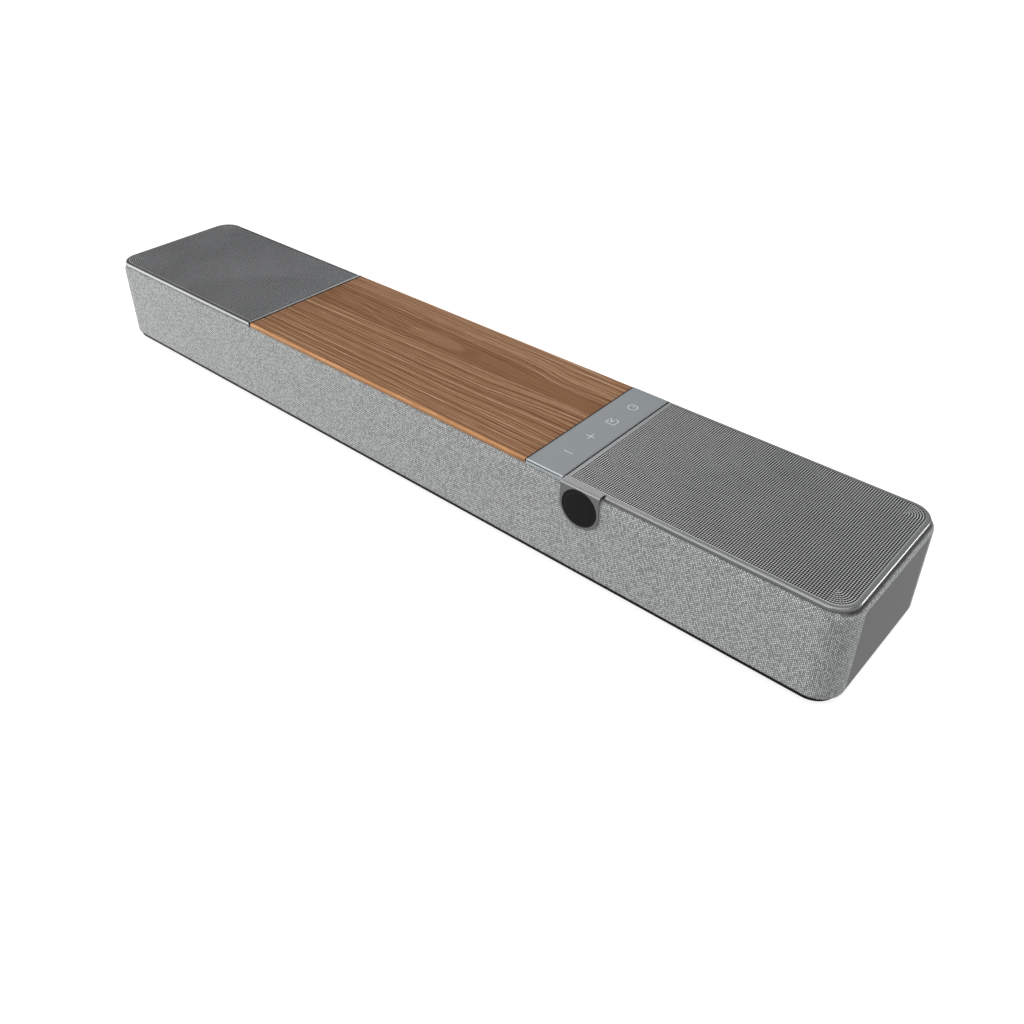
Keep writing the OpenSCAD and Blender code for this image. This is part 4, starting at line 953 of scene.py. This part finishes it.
def build_badge():
    """Bare black disc: chamfered, with a shallow ring and a slightly domed middle."""
    prof = [(0.0, 0.46), (6.0, 0.46), (10.2, 0.43), (11.4, 0.41), (11.55, 0.33), (11.95, 0.33), (12.1, 0.41), (DISC_R - 0.28, 0.41), (DISC_R - 0.08, 0.33), (DISC_R, 0.2), (DISC_R, -0.02)]
    n = 96
    m = Mesh()
    c = m.add([(DISC_X, DISC_Y1 - prof[0][1], DISC_Z)])[0]
    rings = []
    for r, h in prof[1:]:
        rings.append(m.add([(DISC_X + r * math.cos(2 * math.pi * i / n), DISC_Y1 - h, DISC_Z + r * math.sin(2 * math.pi * i / n)) for i in range(n)]))
    for i in range(n):
        m.f.append((c, rings[0][i], rings[0][(i + 1) % n])[::-1])
    for a, b in zip(rings, rings[1:]):
        for i in range(n):
            m.f.append((a[i], b[i], b[(i + 1) % n], a[(i + 1) % n])[::-1])
    m.f.append(tuple(rings[-1]))
    mt = Mat("badge_disc_satin")
    o = mt.obj()
    x, y, z = mt.xyz(mt.scale(o, (1000.0, 1000.0, 1000.0)))
    dx, dz = mt.mt("SUBTRACT", x, float(DISC_X)), mt.mt("SUBTRACT", z, float(DISC_Z))
    rad = mt.mt("SQRT", mt.mt("ADD", mt.mt("MULTIPLY", dx, dx), mt.mt("MULTIPLY", dz, dz)))
    turn = mt.noise(mt.vec(mt.mt("MULTIPLY", rad, 9.0), 0.5, 0.5), 1.0, 3.0, 0.6)
    cloud = mt.noise(o, 120.0, 3.0)
    mt.set("Base Color", mt.mix(mt.remap(turn, 0.3, 0.7, 0.0, 1.0), (0.005, 0.005, 0.0055), (0.008, 0.008, 0.0085)))
    mt.set("Roughness", mt.mt("ADD", mt.remap(turn, 0.3, 0.7, 0.48, 0.58), mt.remap(cloud, 0.3, 0.7, -0.04, 0.04)))
    mt.set("Normal", mt.bump(turn, 0.000006, 0.6))
    mt.set("Specular IOR Level", 0.12)
    ob = make("badge_disc_face", m.v, m.f, mt.m, sharp=30)
    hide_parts("badge_disc")


build_badge()


# ------------------------------------------------------------------ fabric sleeve
def build_sleeve():
    r = 4.5
    zs = SL_Z1 - r
    end_x = HX - FAB_R - 5
    prof = [(2.2, SL_Z0 + 1.2), (1.5, SL_Z0 + 0.45), (0.9, SL_Z0 + 0.12), (0.45, SL_Z0 + 0.05), (0.14, SL_Z0 + 0.28), (0.0, SL_Z0 + 0.8)]
    zz = np.linspace(SL_Z0 + 0.8, zs, 20)[1:]
    prof += [(0.0, z) for z in zz]
    prof += [(r - r * math.cos(math.radians(a)), zs + r * math.sin(math.radians(a))) for a in range(9, 91, 9)]
    inner = [(o + 0.0, z) for o, z in prof]
    # inner face: offset along the section's normal
    p = np.array(prof)
    d = np.gradient(p, axis=0)
    d /= np.linalg.norm(d, axis=1)[:, None]
    nrm = np.stack([d[:, 1], -d[:, 0]], 1)
    q = p + nrm * 0.95
    q[:3] = p[:3] + np.array([0.25, 0.35])
    section = [tuple(a) for a in p] + [tuple(a) for a in q[::-1]]
    length = np.r_[0, np.cumsum(np.linalg.norm(np.diff(p, axis=0), axis=1))]
    vco = np.r_[length, length[::-1]] / 1000
    ax, ay = HX - FAB_R, HY - FAB_R
    path = []  # (corner centre x, y, direction, radius factor, s)
    s = 0.0

    def line(x0, y0, x1, y1, nx, ny, step):
        nonlocal s
        L = math.hypot(x1 - x0, y1 - y0)
        k = max(1, int(L / step))
        for i in range(k + 1):
            t = i / k
            path.append((x0 + (x1 - x0) * t, y0 + (y1 - y0) * t, nx, ny, s + L * t))
        s += L

    def corner(cx, cy, a0, a1, n=20):
        nonlocal s
        for i in range(1, n):
            a = math.radians(a0 + (a1 - a0) * i / n)
            path.append((cx + FAB_R * math.cos(a), cy + FAB_R * math.sin(a), math.cos(a), math.sin(a), s + FAB_R * abs(math.radians((a1 - a0) * i / n))))
        s += FAB_R * abs(math.radians(a1 - a0))

    line(-end_x, HY, -ax, HY, 0, 1, 2.5)
    corner(-ax, ay, 90, 180)
    line(-HX, ay, -HX, -ay, -1, 0, 4)
    corner(-ax, -ay, 180, 270)
    line(-ax, -HY, ax, -HY, 0, -1, 4)
    corner(ax, -ay, 270, 360)
    line(HX, -ay, HX, ay, 1, 0, 4)
    corner(ax, ay, 0, 90)
    line(ax, HY, end_x, HY, 0, 1, 2.5)
    rings, uvs = [], []
    for px, py, nx, ny, sc in path:
        # the cloth stands a little prouder at the right end than at the left
        px += EXT_L + (EXT_R - EXT_L) * min(1.0, max(0.0, (px + ax) / (2 * ax)))
        pts = []
        for (o, z), vv in zip(section, vco):
            pts.append((px - nx * o, py - ny * o, z))
            uvs.append((sc / 1000, vv))
        rings.append(pts)
    m = Mesh()
    m.loft(rings, closed_ring=True, cap=True)
    ob = make("fabric_sleeve_cloth", m.v, m.f, M["cloth"], sharp=50, uv=uvs)
    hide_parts("fabric_sleeve")
    return ob


build_sleeve()


# ------------------------------------------------------------------ walnut panel
def build_wood():
    r, t = 1.4, 0.6
    top = TOP
    outer = [(-WY, WZ0), (-WY, WZ0 + 0.8)]
    outer += [(-WY + r - r * math.cos(math.radians(a)), top - r + r * math.sin(math.radians(a))) for a in range(0, 91, 15)]
    inner_ys = np.linspace(-WY + r, WY - r, 18)[1:-1]
    outer += [(y, top) for y in inner_ys]
    outer += [(WY - r + r * math.sin(math.radians(a)), top - r + r * math.cos(math.radians(a))) for a in range(0, 91, 15)]
    outer += [(WY, WZ0 + 0.8), (WY, WZ0)]
    ri = r - t
    inner = [(WY - t, WZ0), (WY - t, WZ0 + 0.8)]
    inner += [(WY - r + ri * math.cos(math.radians(a)), top - r + ri * math.sin(math.radians(a))) for a in range(0, 91, 15)]
    inner += [(y, top - t) for y in inner_ys[::-1]]
    inner += [(-WY + r - ri * math.sin(math.radians(a)), top - r + ri * math.cos(math.radians(a))) for a in range(0, 91, 15)]
    inner += [(-WY + t, WZ0 + 0.8), (-WY + t, WZ0)]
    n = len(outer)
    ch = 0.14

    def section(x, pull):
        pts = []
        for i, (y, z) in enumerate(outer):
            a, b = outer[max(0, i - 1)], outer[min(n - 1, i + 1)]
            dy, dz = b[0] - a[0], b[1] - a[1]
            L = math.hypot(dy, dz)
            pts.append((x, y + dz / L * pull, z - dy / L * pull))
        pts += [(x, y, z) for y, z in inner]
        return pts

    xs = [WX0 + ch] + list(np.linspace(WX0 + ch, WX1 - ch, 24)[1:-1]) + [WX1 - ch]
    rings = [section(WX0, ch)] + [section(x, 0.0) for x in xs] + [section(WX1, ch)]
    m = Mesh()
    ids = m.loft(rings, closed_ring=True, flip=True)
    # ends: quads between the outer and the inner line
    for k, flip in ((0, False), (-1, True)):
        ring = ids[k]
        for i in range(n - 1):
            q = (ring[i], ring[i + 1], ring[2 * n - 2 - i], ring[2 * n - 1 - i])
            m.f.append(q[::-1] if not flip else q)
    ob = make("walnut_panel", m.v, m.f, M["walnut"], sharp=50)
    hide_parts("wood_veneer")
    return ob


build_wood()


# ------------------------------------------------------------------ control strip
FILM_Z = TOP - 0.03
KX = KEYS["minus"][0]
K_HX, K_HY = KEYS["minus"][2], KEYS["minus"][3]
RING = 5.6  # width of the film frame round each key
ORDER = sorted(KEYS, key=lambda k: KEYS[k][1])


def build_film():
    """The printed film round the four keys, in one piece, with rolled front and back edges."""
    e = 0.14
    r, rz = 0.9, FILM_Z - SZ0 - 0.06
    xs = [SX0, SX0 + e, KX - K_HX, KX + K_HX, SX1 - e, SX1]
    ys, zs = [], []
    rolled = [(-SY + r - r * math.cos(math.radians(a)), FILM_Z - rz + rz * math.sin(math.radians(a))) for a in (0, 15, 30, 45, 60, 75)]
    for y, z in rolled:
        ys.append(y)
        zs.append(z)
    ys.append(-SY + r)
    zs.append(FILM_Z)
    cuts = []
    for k in ORDER:
        ky = KEYS[k][1]
        cuts.append((len(ys), len(ys) + 1))
        ys += [ky - K_HY, ky + K_HY]
        zs += [FILM_Z, FILM_Z]
    ys.append(SY - r)
    zs.append(FILM_Z)
    for y, z in rolled[::-1]:
        ys.append(-y)
        zs.append(z)
    m = Mesh()
    nx, ny = len(xs), len(ys)
    top, bot = [], []
    zb = SZ0 + 0.0
    for i, x in enumerate(xs):
        drop = e if i in (0, nx - 1) else 0.0
        top.append(m.add([(x, y, max(z - drop, zb + 0.02)) for y, z in zip(ys, zs)]))
        bot.append(m.add([(x, y, zb) for y in ys]))
    hole = {(2, a) for a, b in cuts}
    for i in range(nx - 1):
        for j in range(ny - 1):
            if (i, j) in hole:
                continue
            m.f.append((top[i][j], top[i + 1][j], top[i + 1][j + 1], top[i][j + 1]))
            m.f.append((bot[i][j], bot[i][j + 1], bot[i + 1][j + 1], bot[i + 1][j]))
    for i in range(nx - 1):
        m.f.append((top[i][0], bot[i][0], bot[i + 1][0], top[i + 1][0]))
        m.f.append((top[i][-1], top[i + 1][-1], bot[i + 1][-1], bot[i][-1]))
    for j in range(ny - 1):
        m.f.append((top[0][j], top[0][j + 1], bot[0][j + 1], bot[0][j]))
        m.f.append((top[-1][j], bot[-1][j], bot[-1][j + 1], top[-1][j + 1]))
    for (i, j) in hole:
        m.f.append((top[i][j], top[i + 1][j], bot[i + 1][j], bot[i][j]))
        m.f.append((top[i][j + 1], bot[i][j + 1], bot[i + 1][j + 1], top[i + 1][j + 1]))
        m.f.append((top[i][j], bot[i][j], bot[i][j + 1], top[i][j + 1]))
        m.f.append((top[i + 1][j], top[i + 1][j + 1], bot[i + 1][j + 1], bot[i + 1][j]))
    ob = make("control_film", m.v, m.f, M["film"], sharp=50)
    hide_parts("control_overlay")


def ribbon(m, pts, w, z0, z1, closed=False):
    """A raised printed line of width w along plan points, with mitred joints and square ends."""
    p = np.array(pts, float)
    n = len(p)
    left, right = [], []
    for i in range(n):
        if closed:
            a, b = p[i] - p[i - 1], p[(i + 1) % n] - p[i]
        else:
            a = p[i] - p[i - 1] if i else p[1] - p[0]
            b = p[i + 1] - p[i] if i < n - 1 else p[-1] - p[-2]
        a, b = a / np.linalg.norm(a), b / np.linalg.norm(b)
        t = a + b
        t /= np.linalg.norm(t)
        nrm = np.array([-t[1], t[0]])
        k = w / 2 / max(0.4, float(nrm @ np.array([-a[1], a[0]])))
        left.append(p[i] + nrm * k)
        right.append(p[i] - nrm * k)
    lt = m.add([(x, y, z1) for x, y in left])
    rt = m.add([(x, y, z1) for x, y in right])
    lb = m.add([(x, y, z0) for x, y in left])
    rb = m.add([(x, y, z0) for x, y in right])
    for i in range(n if closed else n - 1):
        j = (i + 1) % n
        m.f.append((lt[i], rt[i], rt[j], lt[j]))
        m.f.append((lb[i], lb[j], rb[j], rb[i]))
        m.f.append((lt[i], lt[j], lb[j], lb[i]))
        m.f.append((rt[i], rb[i], rb[j], rt[j]))
    if not closed:
        m.f.append((lt[0], lb[0], rb[0], rt[0]))
        m.f.append((lt[-1], rt[-1], rb[-1], lb[-1]))


def symbol(kind, cx, cy):
    m = Mesh()
    z0, z1 = FILM_Z - 0.1, FILM_Z + 0.024
    w = 0.46
    if kind in ("minus", "plus"):
        ribbon(m, [(cx - 3.6, cy), (cx + 3.6, cy)], w, z0, z1)
    if kind == "plus":
        ribbon(m, [(cx, cy - 3.6), (cx, cy - w / 2)], w, z0, z1)
        ribbon(m, [(cx, cy + w / 2), (cx, cy + 3.6)], w, z0, z1)
    if kind == "power":
        r, yc = 3.45, cy - 0.2
        ribbon(m, [(cx + r * math.cos(math.radians(a)), yc + r * math.sin(math.radians(a))) for a in range(106, 435, 8)], w, z0, z1)
        ribbon(m, [(cx, yc + 0.35), (cx, yc + r + 0.25)], w, z0, z1)
    if kind == "source":
        a, b, r = 3.55, 3.3, 1.2
        pts = [(cx + 0.5, cy + b)] + arc(cx + a - r, cy + b - r, r, 90, 0, 5) + arc(cx + a - r, cy - b + r, r, 0, -90, 5)
        pts += arc(cx - a + r, cy - b + r, r, -90, -180, 5) + [(cx - a, cy + 0.9)]
        ribbon(m, pts, w, z0, z1)
        ribbon(m, [(cx - a + 0.1, cy + b - 0.1), (cx - 0.25, cy - 0.05)], w, z0, z1)
        ribbon(m, [(cx - 2.1, cy - 0.25), (cx + 0.05, cy - 0.25), (cx + 0.05, cy + 1.9)], w, z0, z1)
    return m


def build_key(kind):
    kx, ky, hx, hy = KEYS[kind]
    body = BODY_OF["key_" + kind]
    ix, iy = hx - RING, hy - RING
    zt, zb = FILM_Z, SZ0
    n = 8
    # middle of the key: the film over the cap, with the cap's stem below
    m = Mesh()
    m.prism([(kx - ix, ky - iy), (kx + ix, ky - iy), (kx + ix, ky + iy), (kx - ix, ky + iy)], zb, zt)
    mid = make(f"key_{kind}_face", m.v, m.f, M["film"], body=body)
    m = Mesh()
    m.prism([(kx - hx + 0.4, ky - hy), (kx + hx - 0.4, ky - hy), (kx + hx, ky - hy + 0.4), (kx + hx, ky + hy - 0.4), (kx + hx - 0.4, ky + hy), (kx - hx + 0.4, ky + hy), (kx - hx, ky + hy - 0.4), (kx - hx, ky - hy + 0.4)], zb - 0.9, zb - 0.05)
    m.prism([(kx + 3 * math.cos(math.radians(a)), ky + 3 * math.sin(math.radians(a))) for a in range(0, 360, 15)], TOP - 5.4, zb - 0.9)
    cap = make(f"key_{kind}_cap", m.v, m.f, M["carrier"], body=body)
    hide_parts("key_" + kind)
    # the film frame round each key: four pieces with mitred corners
    for side, (dx, dy) in {"front": (0, -1), "back": (0, 1), "left": (-1, 0), "right": (1, 0)}.items():
        m = Mesh()
        rows_t, rows_b = [], []
        for i in range(n + 1):
            t = i / n
            ox, oy = hx - RING * t, hy - RING * t
            if dx == 0:
                a, b = (kx - ox, ky + dy * oy), (kx + ox, ky + dy * oy)
            else:
                a, b = (kx + dx * ox, ky - oy), (kx + dx * ox, ky + oy)
            k = 6
            line = [(a[0] + (b[0] - a[0]) * j / k, a[1] + (b[1] - a[1]) * j / k) for j in range(k + 1)]
            rows_t.append(m.add([(x, y, zt) for x, y in line]))
            rows_b.append(m.add([(x, y, zb) for x, y in line]))
        up = (dx == 0 and dy < 0) or dx > 0
        def quad(q):
            m.f.append(q if up else q[::-1])
        k = 6
        for i in range(n):
            for j in range(k):
                quad((rows_t[i][j], rows_t[i][j + 1], rows_t[i + 1][j + 1], rows_t[i + 1][j]))
                quad((rows_b[i][j], rows_b[i + 1][j], rows_b[i + 1][j + 1], rows_b[i][j + 1]))
            quad((rows_t[i][0], rows_t[i + 1][0], rows_b[i + 1][0], rows_b[i][0]))
            quad((rows_t[i][k], rows_b[i][k], rows_b[i + 1][k], rows_t[i + 1][k]))
        for j in range(k):
            quad((rows_t[0][j], rows_b[0][j], rows_b[0][j + 1], rows_t[0][j + 1]))
            quad((rows_t[n][j], rows_t[n][j + 1], rows_b[n][j + 1], rows_b[n][j]))
        ob = make(f"key_{kind}_film_{side}", m.v, m.f, M["film"])
        ob.parent = None
        ob.matrix_parent_inverse.identity()
        del ob["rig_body"]
        s = (kx + dx * hx, ky + dy * hy)
        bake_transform(ob)
    sy = symbol(kind, kx + 0.6, ky)
    make(f"key_{kind}_symbol", sy.v, sy.f, M["ink"], body=body, sharp=50)


def build_slit():
    """The smoked window of the status light, in the joint under the film's front edge."""
    m = Mesh()
    x0, x1 = SX0 + 0.9, SX1 - 2.4
    prof = [(-PY + 0.4, TOP - 0.53), (-PY - 0.05, TOP - 0.53), (-PY - 0.50, TOP - 0.56), (-PY - 0.54, TOP - 0.62), (-PY - 0.54, TOP - 0.76), (-PY - 0.50, TOP - 0.80), (-PY + 0.4, TOP - 0.80)]
    xs = [x0, x0 + 0.12] + list(np.linspace(x0, x1, 14)[1:-1]) + [x1 - 0.12, x1]
    rings = []
    for i, x in enumerate(xs):
        k = 0.12 if i in (0, len(xs) - 1) else 0.0
        rings.append([(x, y + (k if y < -PY else 0), z - (k if z > TOP - 0.6 else 0)) for y, z in prof])
    m.loft(rings, closed_ring=True, cap=True)
    ob = make("status_window", m.v, m.f, M["lens"], sharp=40)
    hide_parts("light_bar")


def build_gaskets():
    """Thin black strips standing in the joints between the top panels: painted shade, a dark sheet in each joint."""
    for name, xa, xb, drop in (
        ("gasket_grille_left", -GL_X0 - 0.42, WX0 + 0.10, 0.04),
        ("gasket_wood_strip", WX1 - 0.10, SX0 + 0.04, 0.16),
        ("gasket_strip_grille", SX1 - 0.05, GR_X0 + 0.34, 0.05),
    ):
        n = 60
        ys = np.linspace(-(PY + 0.14), PY - 0.5, n + 1)
        m = Mesh()
        rings = []
        for i, y in enumerate(ys):
            zt = TOP - drop - 0.05 * (i % 2)
            rings.append([(xa, y, TOP - 3.0), (xa, y, zt - 0.08), (xa + 0.1, y, zt), (xb - 0.1, y, zt), (xb, y, zt - 0.08), (xb, y, TOP - 3.0)])
        m.loft(rings, closed_ring=True, cap=True)
        make(name, m.v, m.f, M["gasket"], sharp=40)


build_film()
build_slit()
build_gaskets()
for _k in ORDER:
    build_key(_k)

# ------------------------------------------------------------------ speaker surrounds
def build_surround(kind, side, rc, ro, t, r_flange, h_flange, lip0, lip1, lip_h, n):
    """The half roll stays on the basket; the glued lip goes with the cone, clear of the roll."""
    node, body = f"{kind}_{side}_surround", f"{kind}_{side}_moving"
    lo, hi = box_mm(node)
    cx = (lo[0] + hi[0]) / 2

    def turn(prof):
        rings = []
        for i in range(n):
            a = 2 * math.pi * i / n
            if kind == "woofer":
                rings.append([(cx + r * math.cos(a), (lo[1] + hi[1]) / 2 - YO + r * math.sin(a), lo[2] - 0.05 + h) for r, h in prof])
            else:
                rings.append([(cx + r * math.cos(a), hi[1] - YO + 0.05 - h, (lo[2] + hi[2]) / 2 + r * math.sin(a)) for r, h in prof])
        m = Mesh()
        m.loft(rings, closed_ring=True, closed_path=True, flip=True)
        return m

    a0 = math.degrees(math.asin(h_flange / ro))
    ri = ro - t
    outer = [(rc + ro * math.cos(math.radians(a)), 0.05 + ro * math.sin(math.radians(a))) for a in np.linspace(a0, 180, 15)]
    inner = [(rc + ri * math.cos(math.radians(a)), 0.05 + ri * math.sin(math.radians(a))) for a in np.linspace(180, 0, 15)]
    roll = [(r_flange, 0.05), (r_flange, h_flange - 0.07), (r_flange - 0.12, h_flange + 0.05)] + outer + inner
    m = turn(roll)
    ob = make(f"{node}_roll", m.v, m.f, M["surround"], sharp=50)
    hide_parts(node)
    e = 0.12
    m = turn([(lip0, 0.05), (lip1, 0.05), (lip1, 0.05 + lip_h - e), (lip1 - e, 0.05 + lip_h), (lip0 + e, 0.05 + lip_h), (lip0, 0.05 + lip_h - e)])
    make(f"{node}_lip", m.v, m.f, M["surround"], body=body, sharp=50)


for _s in ("left", "right"):
    build_surround("woofer", _s, 45.2, 3.2, 0.7, 49.4, 0.7, 41.3, 41.95, 0.6, 96)
    build_surround("driver", _s, 19.04, 1.56, 0.5, 22.2, 0.5, 16.5, 17.2, 0.45, 64)

# ------------------------------------------------------------------ finishes on the CAD nodes
FINISH = {
    "front_baffle": "black", "rear_cover": "black", "end_cap_left": "black", "end_cap_right": "black", "top_deck": "black",
    "base_plate": "base", "bulkhead_left": "black", "bulkhead_right": "black", "feet": "rubber", "grille_liners": "liner",
    "wood_core": "core", "key_carrier": "carrier", "control_board": "pcb", "tact_switches": "nickel", "light_bar": "lens",
    "main_board": "pcb", "power_board": "pcb", "heat_sink": "sink", "connector_plate": "black", "mains_inlet": "black",
    "video_socket": "nickel", "optical_socket": "black", "pre_out_jack": "brass", "base_screws": "screw",
    "woofer_screws": "screw", "wall_inserts": "brass",
}
for _s in ("left", "right"):
    FINISH.update({f"woofer_{_s}_{a}": b for a, b in {"basket": "driver", "motor": "motor", "cone": "cone", "dust_cap": "cone", "coil": "copper", "surround": "surround", "spider": "spider"}.items()})
    FINISH.update({f"driver_{_s}_{a}": b for a, b in {"basket": "driver", "motor": "motor", "diaphragm": "alu", "coil": "copper", "surround": "surround"}.items()})
for _n, _o in frame["nodes"].items():
    if _n in FINISH:
        if not _o.material_slots:
            _o.data.materials.append(None)
        for _sl in _o.material_slots:
            _sl.material = M[FINISH[_n]]

# ------------------------------------------------------------------ camera, floor and light
L_WORLD, L_SUN, L_KEY, L_FILL, L_SIDE, L_EDGE = 0.45, 2.6, 2.25, 1.31, 0.45, 7.0
cam_data = bpy.data.cameras.new("camera")
cam = bpy.data.objects.new("camera", cam_data)
bpy.context.scene.collection.objects.link(cam)
cam_data.sensor_width = 36.0
cam_data.lens = 35.137
cam_data.shift_x = 0.00016
cam_data.shift_y = -0.0423
cam_data.clip_start, cam_data.clip_end = 0.01, 50
cam.location = (0.472548, -0.469636 + YO / 1000, 0.370802 + TOP / 1000)
cam.rotation_euler = (math.radians(90 - 35.363), 0, math.radians(40.933))
bpy.context.scene.camera = cam

def make_floor(name, z, base, glow):
    fm = Mat(name)
    fo = fm.obj()
    fn = fm.noise(fo, 3.0, 3.0)
    fm.set("Base Color", fm.mix(fm.remap(fn, 0.3, 0.7, 0.0, 1.0), (base - 0.01,) * 3, (base + 0.01,) * 3))
    fm.set("Roughness", 0.9)
    fm.set("Specular IOR Level", 0.1)
    fm.set("Emission Color", (1.0, 1.0, 1.0))
    fm.set("Emission Strength", glow)
    me = bpy.data.meshes.new(name)
    # a round floor that runs up into a pale backdrop far behind the object on every side
    prof = [(9.0 * math.sin(math.radians(a)), 9.0 * (1 - math.cos(math.radians(a)))) for a in range(0, 91, 10)]
    prof = [(2.0, 0.0)] + [(4.0 + r, h) for r, h in prof] + [(13.0, 14.0), (8.0, 20.0), (2.0, 22.0)]
    n = 64
    vs = [(r * math.cos(2 * math.pi * i / n), r * math.sin(2 * math.pi * i / n), z + h) for r, h in prof for i in range(n)]
    fs = [(k * n + i, (k + 1) * n + i, (k + 1) * n + (i + 1) % n, k * n + (i + 1) % n) for k in range(len(prof) - 1) for i in range(n)]
    fs = [tuple(range(n))] + fs + [tuple(range((len(prof) - 1) * n, len(prof) * n))[::-1]]
    me.from_pydata(vs, [], fs)
    me.polygons.foreach_set("use_smooth", [True] * len(me.polygons))
    me.materials.append(fm.m)
    ob = bpy.data.objects.new(name, me)
    bpy.context.scene.collection.objects.link(ob)
    return ob


# a pale table top, lit from below, that throws no light back at the object
floor = make_floor("studio_floor", 0.0, 0.30, 0.80)
floor.visible_diffuse = floor.visible_glossy = floor.visible_transmission = floor.visible_shadow = False

world = bpy.data.worlds.new("studio")
bpy.context.scene.world = world
world.use_nodes = True
world.node_tree.nodes["Background"].inputs[0].default_value = (0.95, 0.975, 1.0, 1)
world.node_tree.nodes["Background"].inputs[1].default_value = L_WORLD


def area(name, loc, target, size, radiance, color=(1, 1, 1), along=None):
    """A soft box: size across and up, or across along the given direction."""
    d = bpy.data.lights.new(name, "AREA")
    d.shape = "RECTANGLE"
    d.size, d.size_y = size
    d.energy = 4 * size[0] * size[1] * radiance
    d.color = color
    o = bpy.data.objects.new(name, d)
    bpy.context.scene.collection.objects.link(o)
    o.location = loc
    zz = (Vector(loc) - Vector(target)).normalized()
    xx = Vector(along) if along else Vector((0, 0, 1)).cross(zz)
    xx = (xx - zz * xx.dot(zz)).normalized()
    yy = zz.cross(xx)
    o.rotation_euler = Matrix((xx, yy, zz)).transposed().to_euler()
    o.visible_camera = False
    return o


sun = bpy.data.lights.new("sky_panel", "SUN")
sun.angle = math.radians(70)
sun.energy = L_SUN
_so = bpy.data.objects.new("sky_panel", sun)
bpy.context.scene.collection.objects.link(_so)
_so.rotation_euler = (math.radians(6), 0, 0)
_so.visible_camera = False
area("key_left", (-1.3, -0.75, 0.1), (0.0, -0.05, 0.04), (1.2, 1.5), L_KEY)
area("front_fill", (-0.3, -1.8, 0.9), (0.0, 0, 0.04), (2.2, 1.4), L_FILL)
area("side_fill", (2.1, -1.1, 0.8), (0.3, 0, 0.04), (1.6, 1.2), L_SIDE)
area("edge_strip", (1.335, 1.154, 0.270), (0.355, 0, 0.075), (0.95, 0.34), L_EDGE, along=(-0.4625, 0, 0.886))

area("back_panel", (-1.02, 1.42, 1.42), (0.16, -0.02, 0.07), (0.6, 0.7), 0.95)
# a black card at the left keeps the left grille and the upper part of its folded edge dark
flag = Mat("flag_card")
flag.set("Base Color", (0.01, 0.01, 0.01))
_me = bpy.data.meshes.new("flag_card")
_me.from_pydata([(-1.55, -0.55, 0.52), (-1.55, 1.15, 0.52), (-1.55, 1.15, 1.30), (-1.55, -0.55, 1.30)], [], [(0, 1, 2, 3)])
_me.materials.append(flag.m)
_fo = bpy.data.objects.new("flag_card", _me)
bpy.context.scene.collection.objects.link(_fo)
_fo.visible_camera = False

bpy.context.scene.view_settings.view_transform = "Standard"
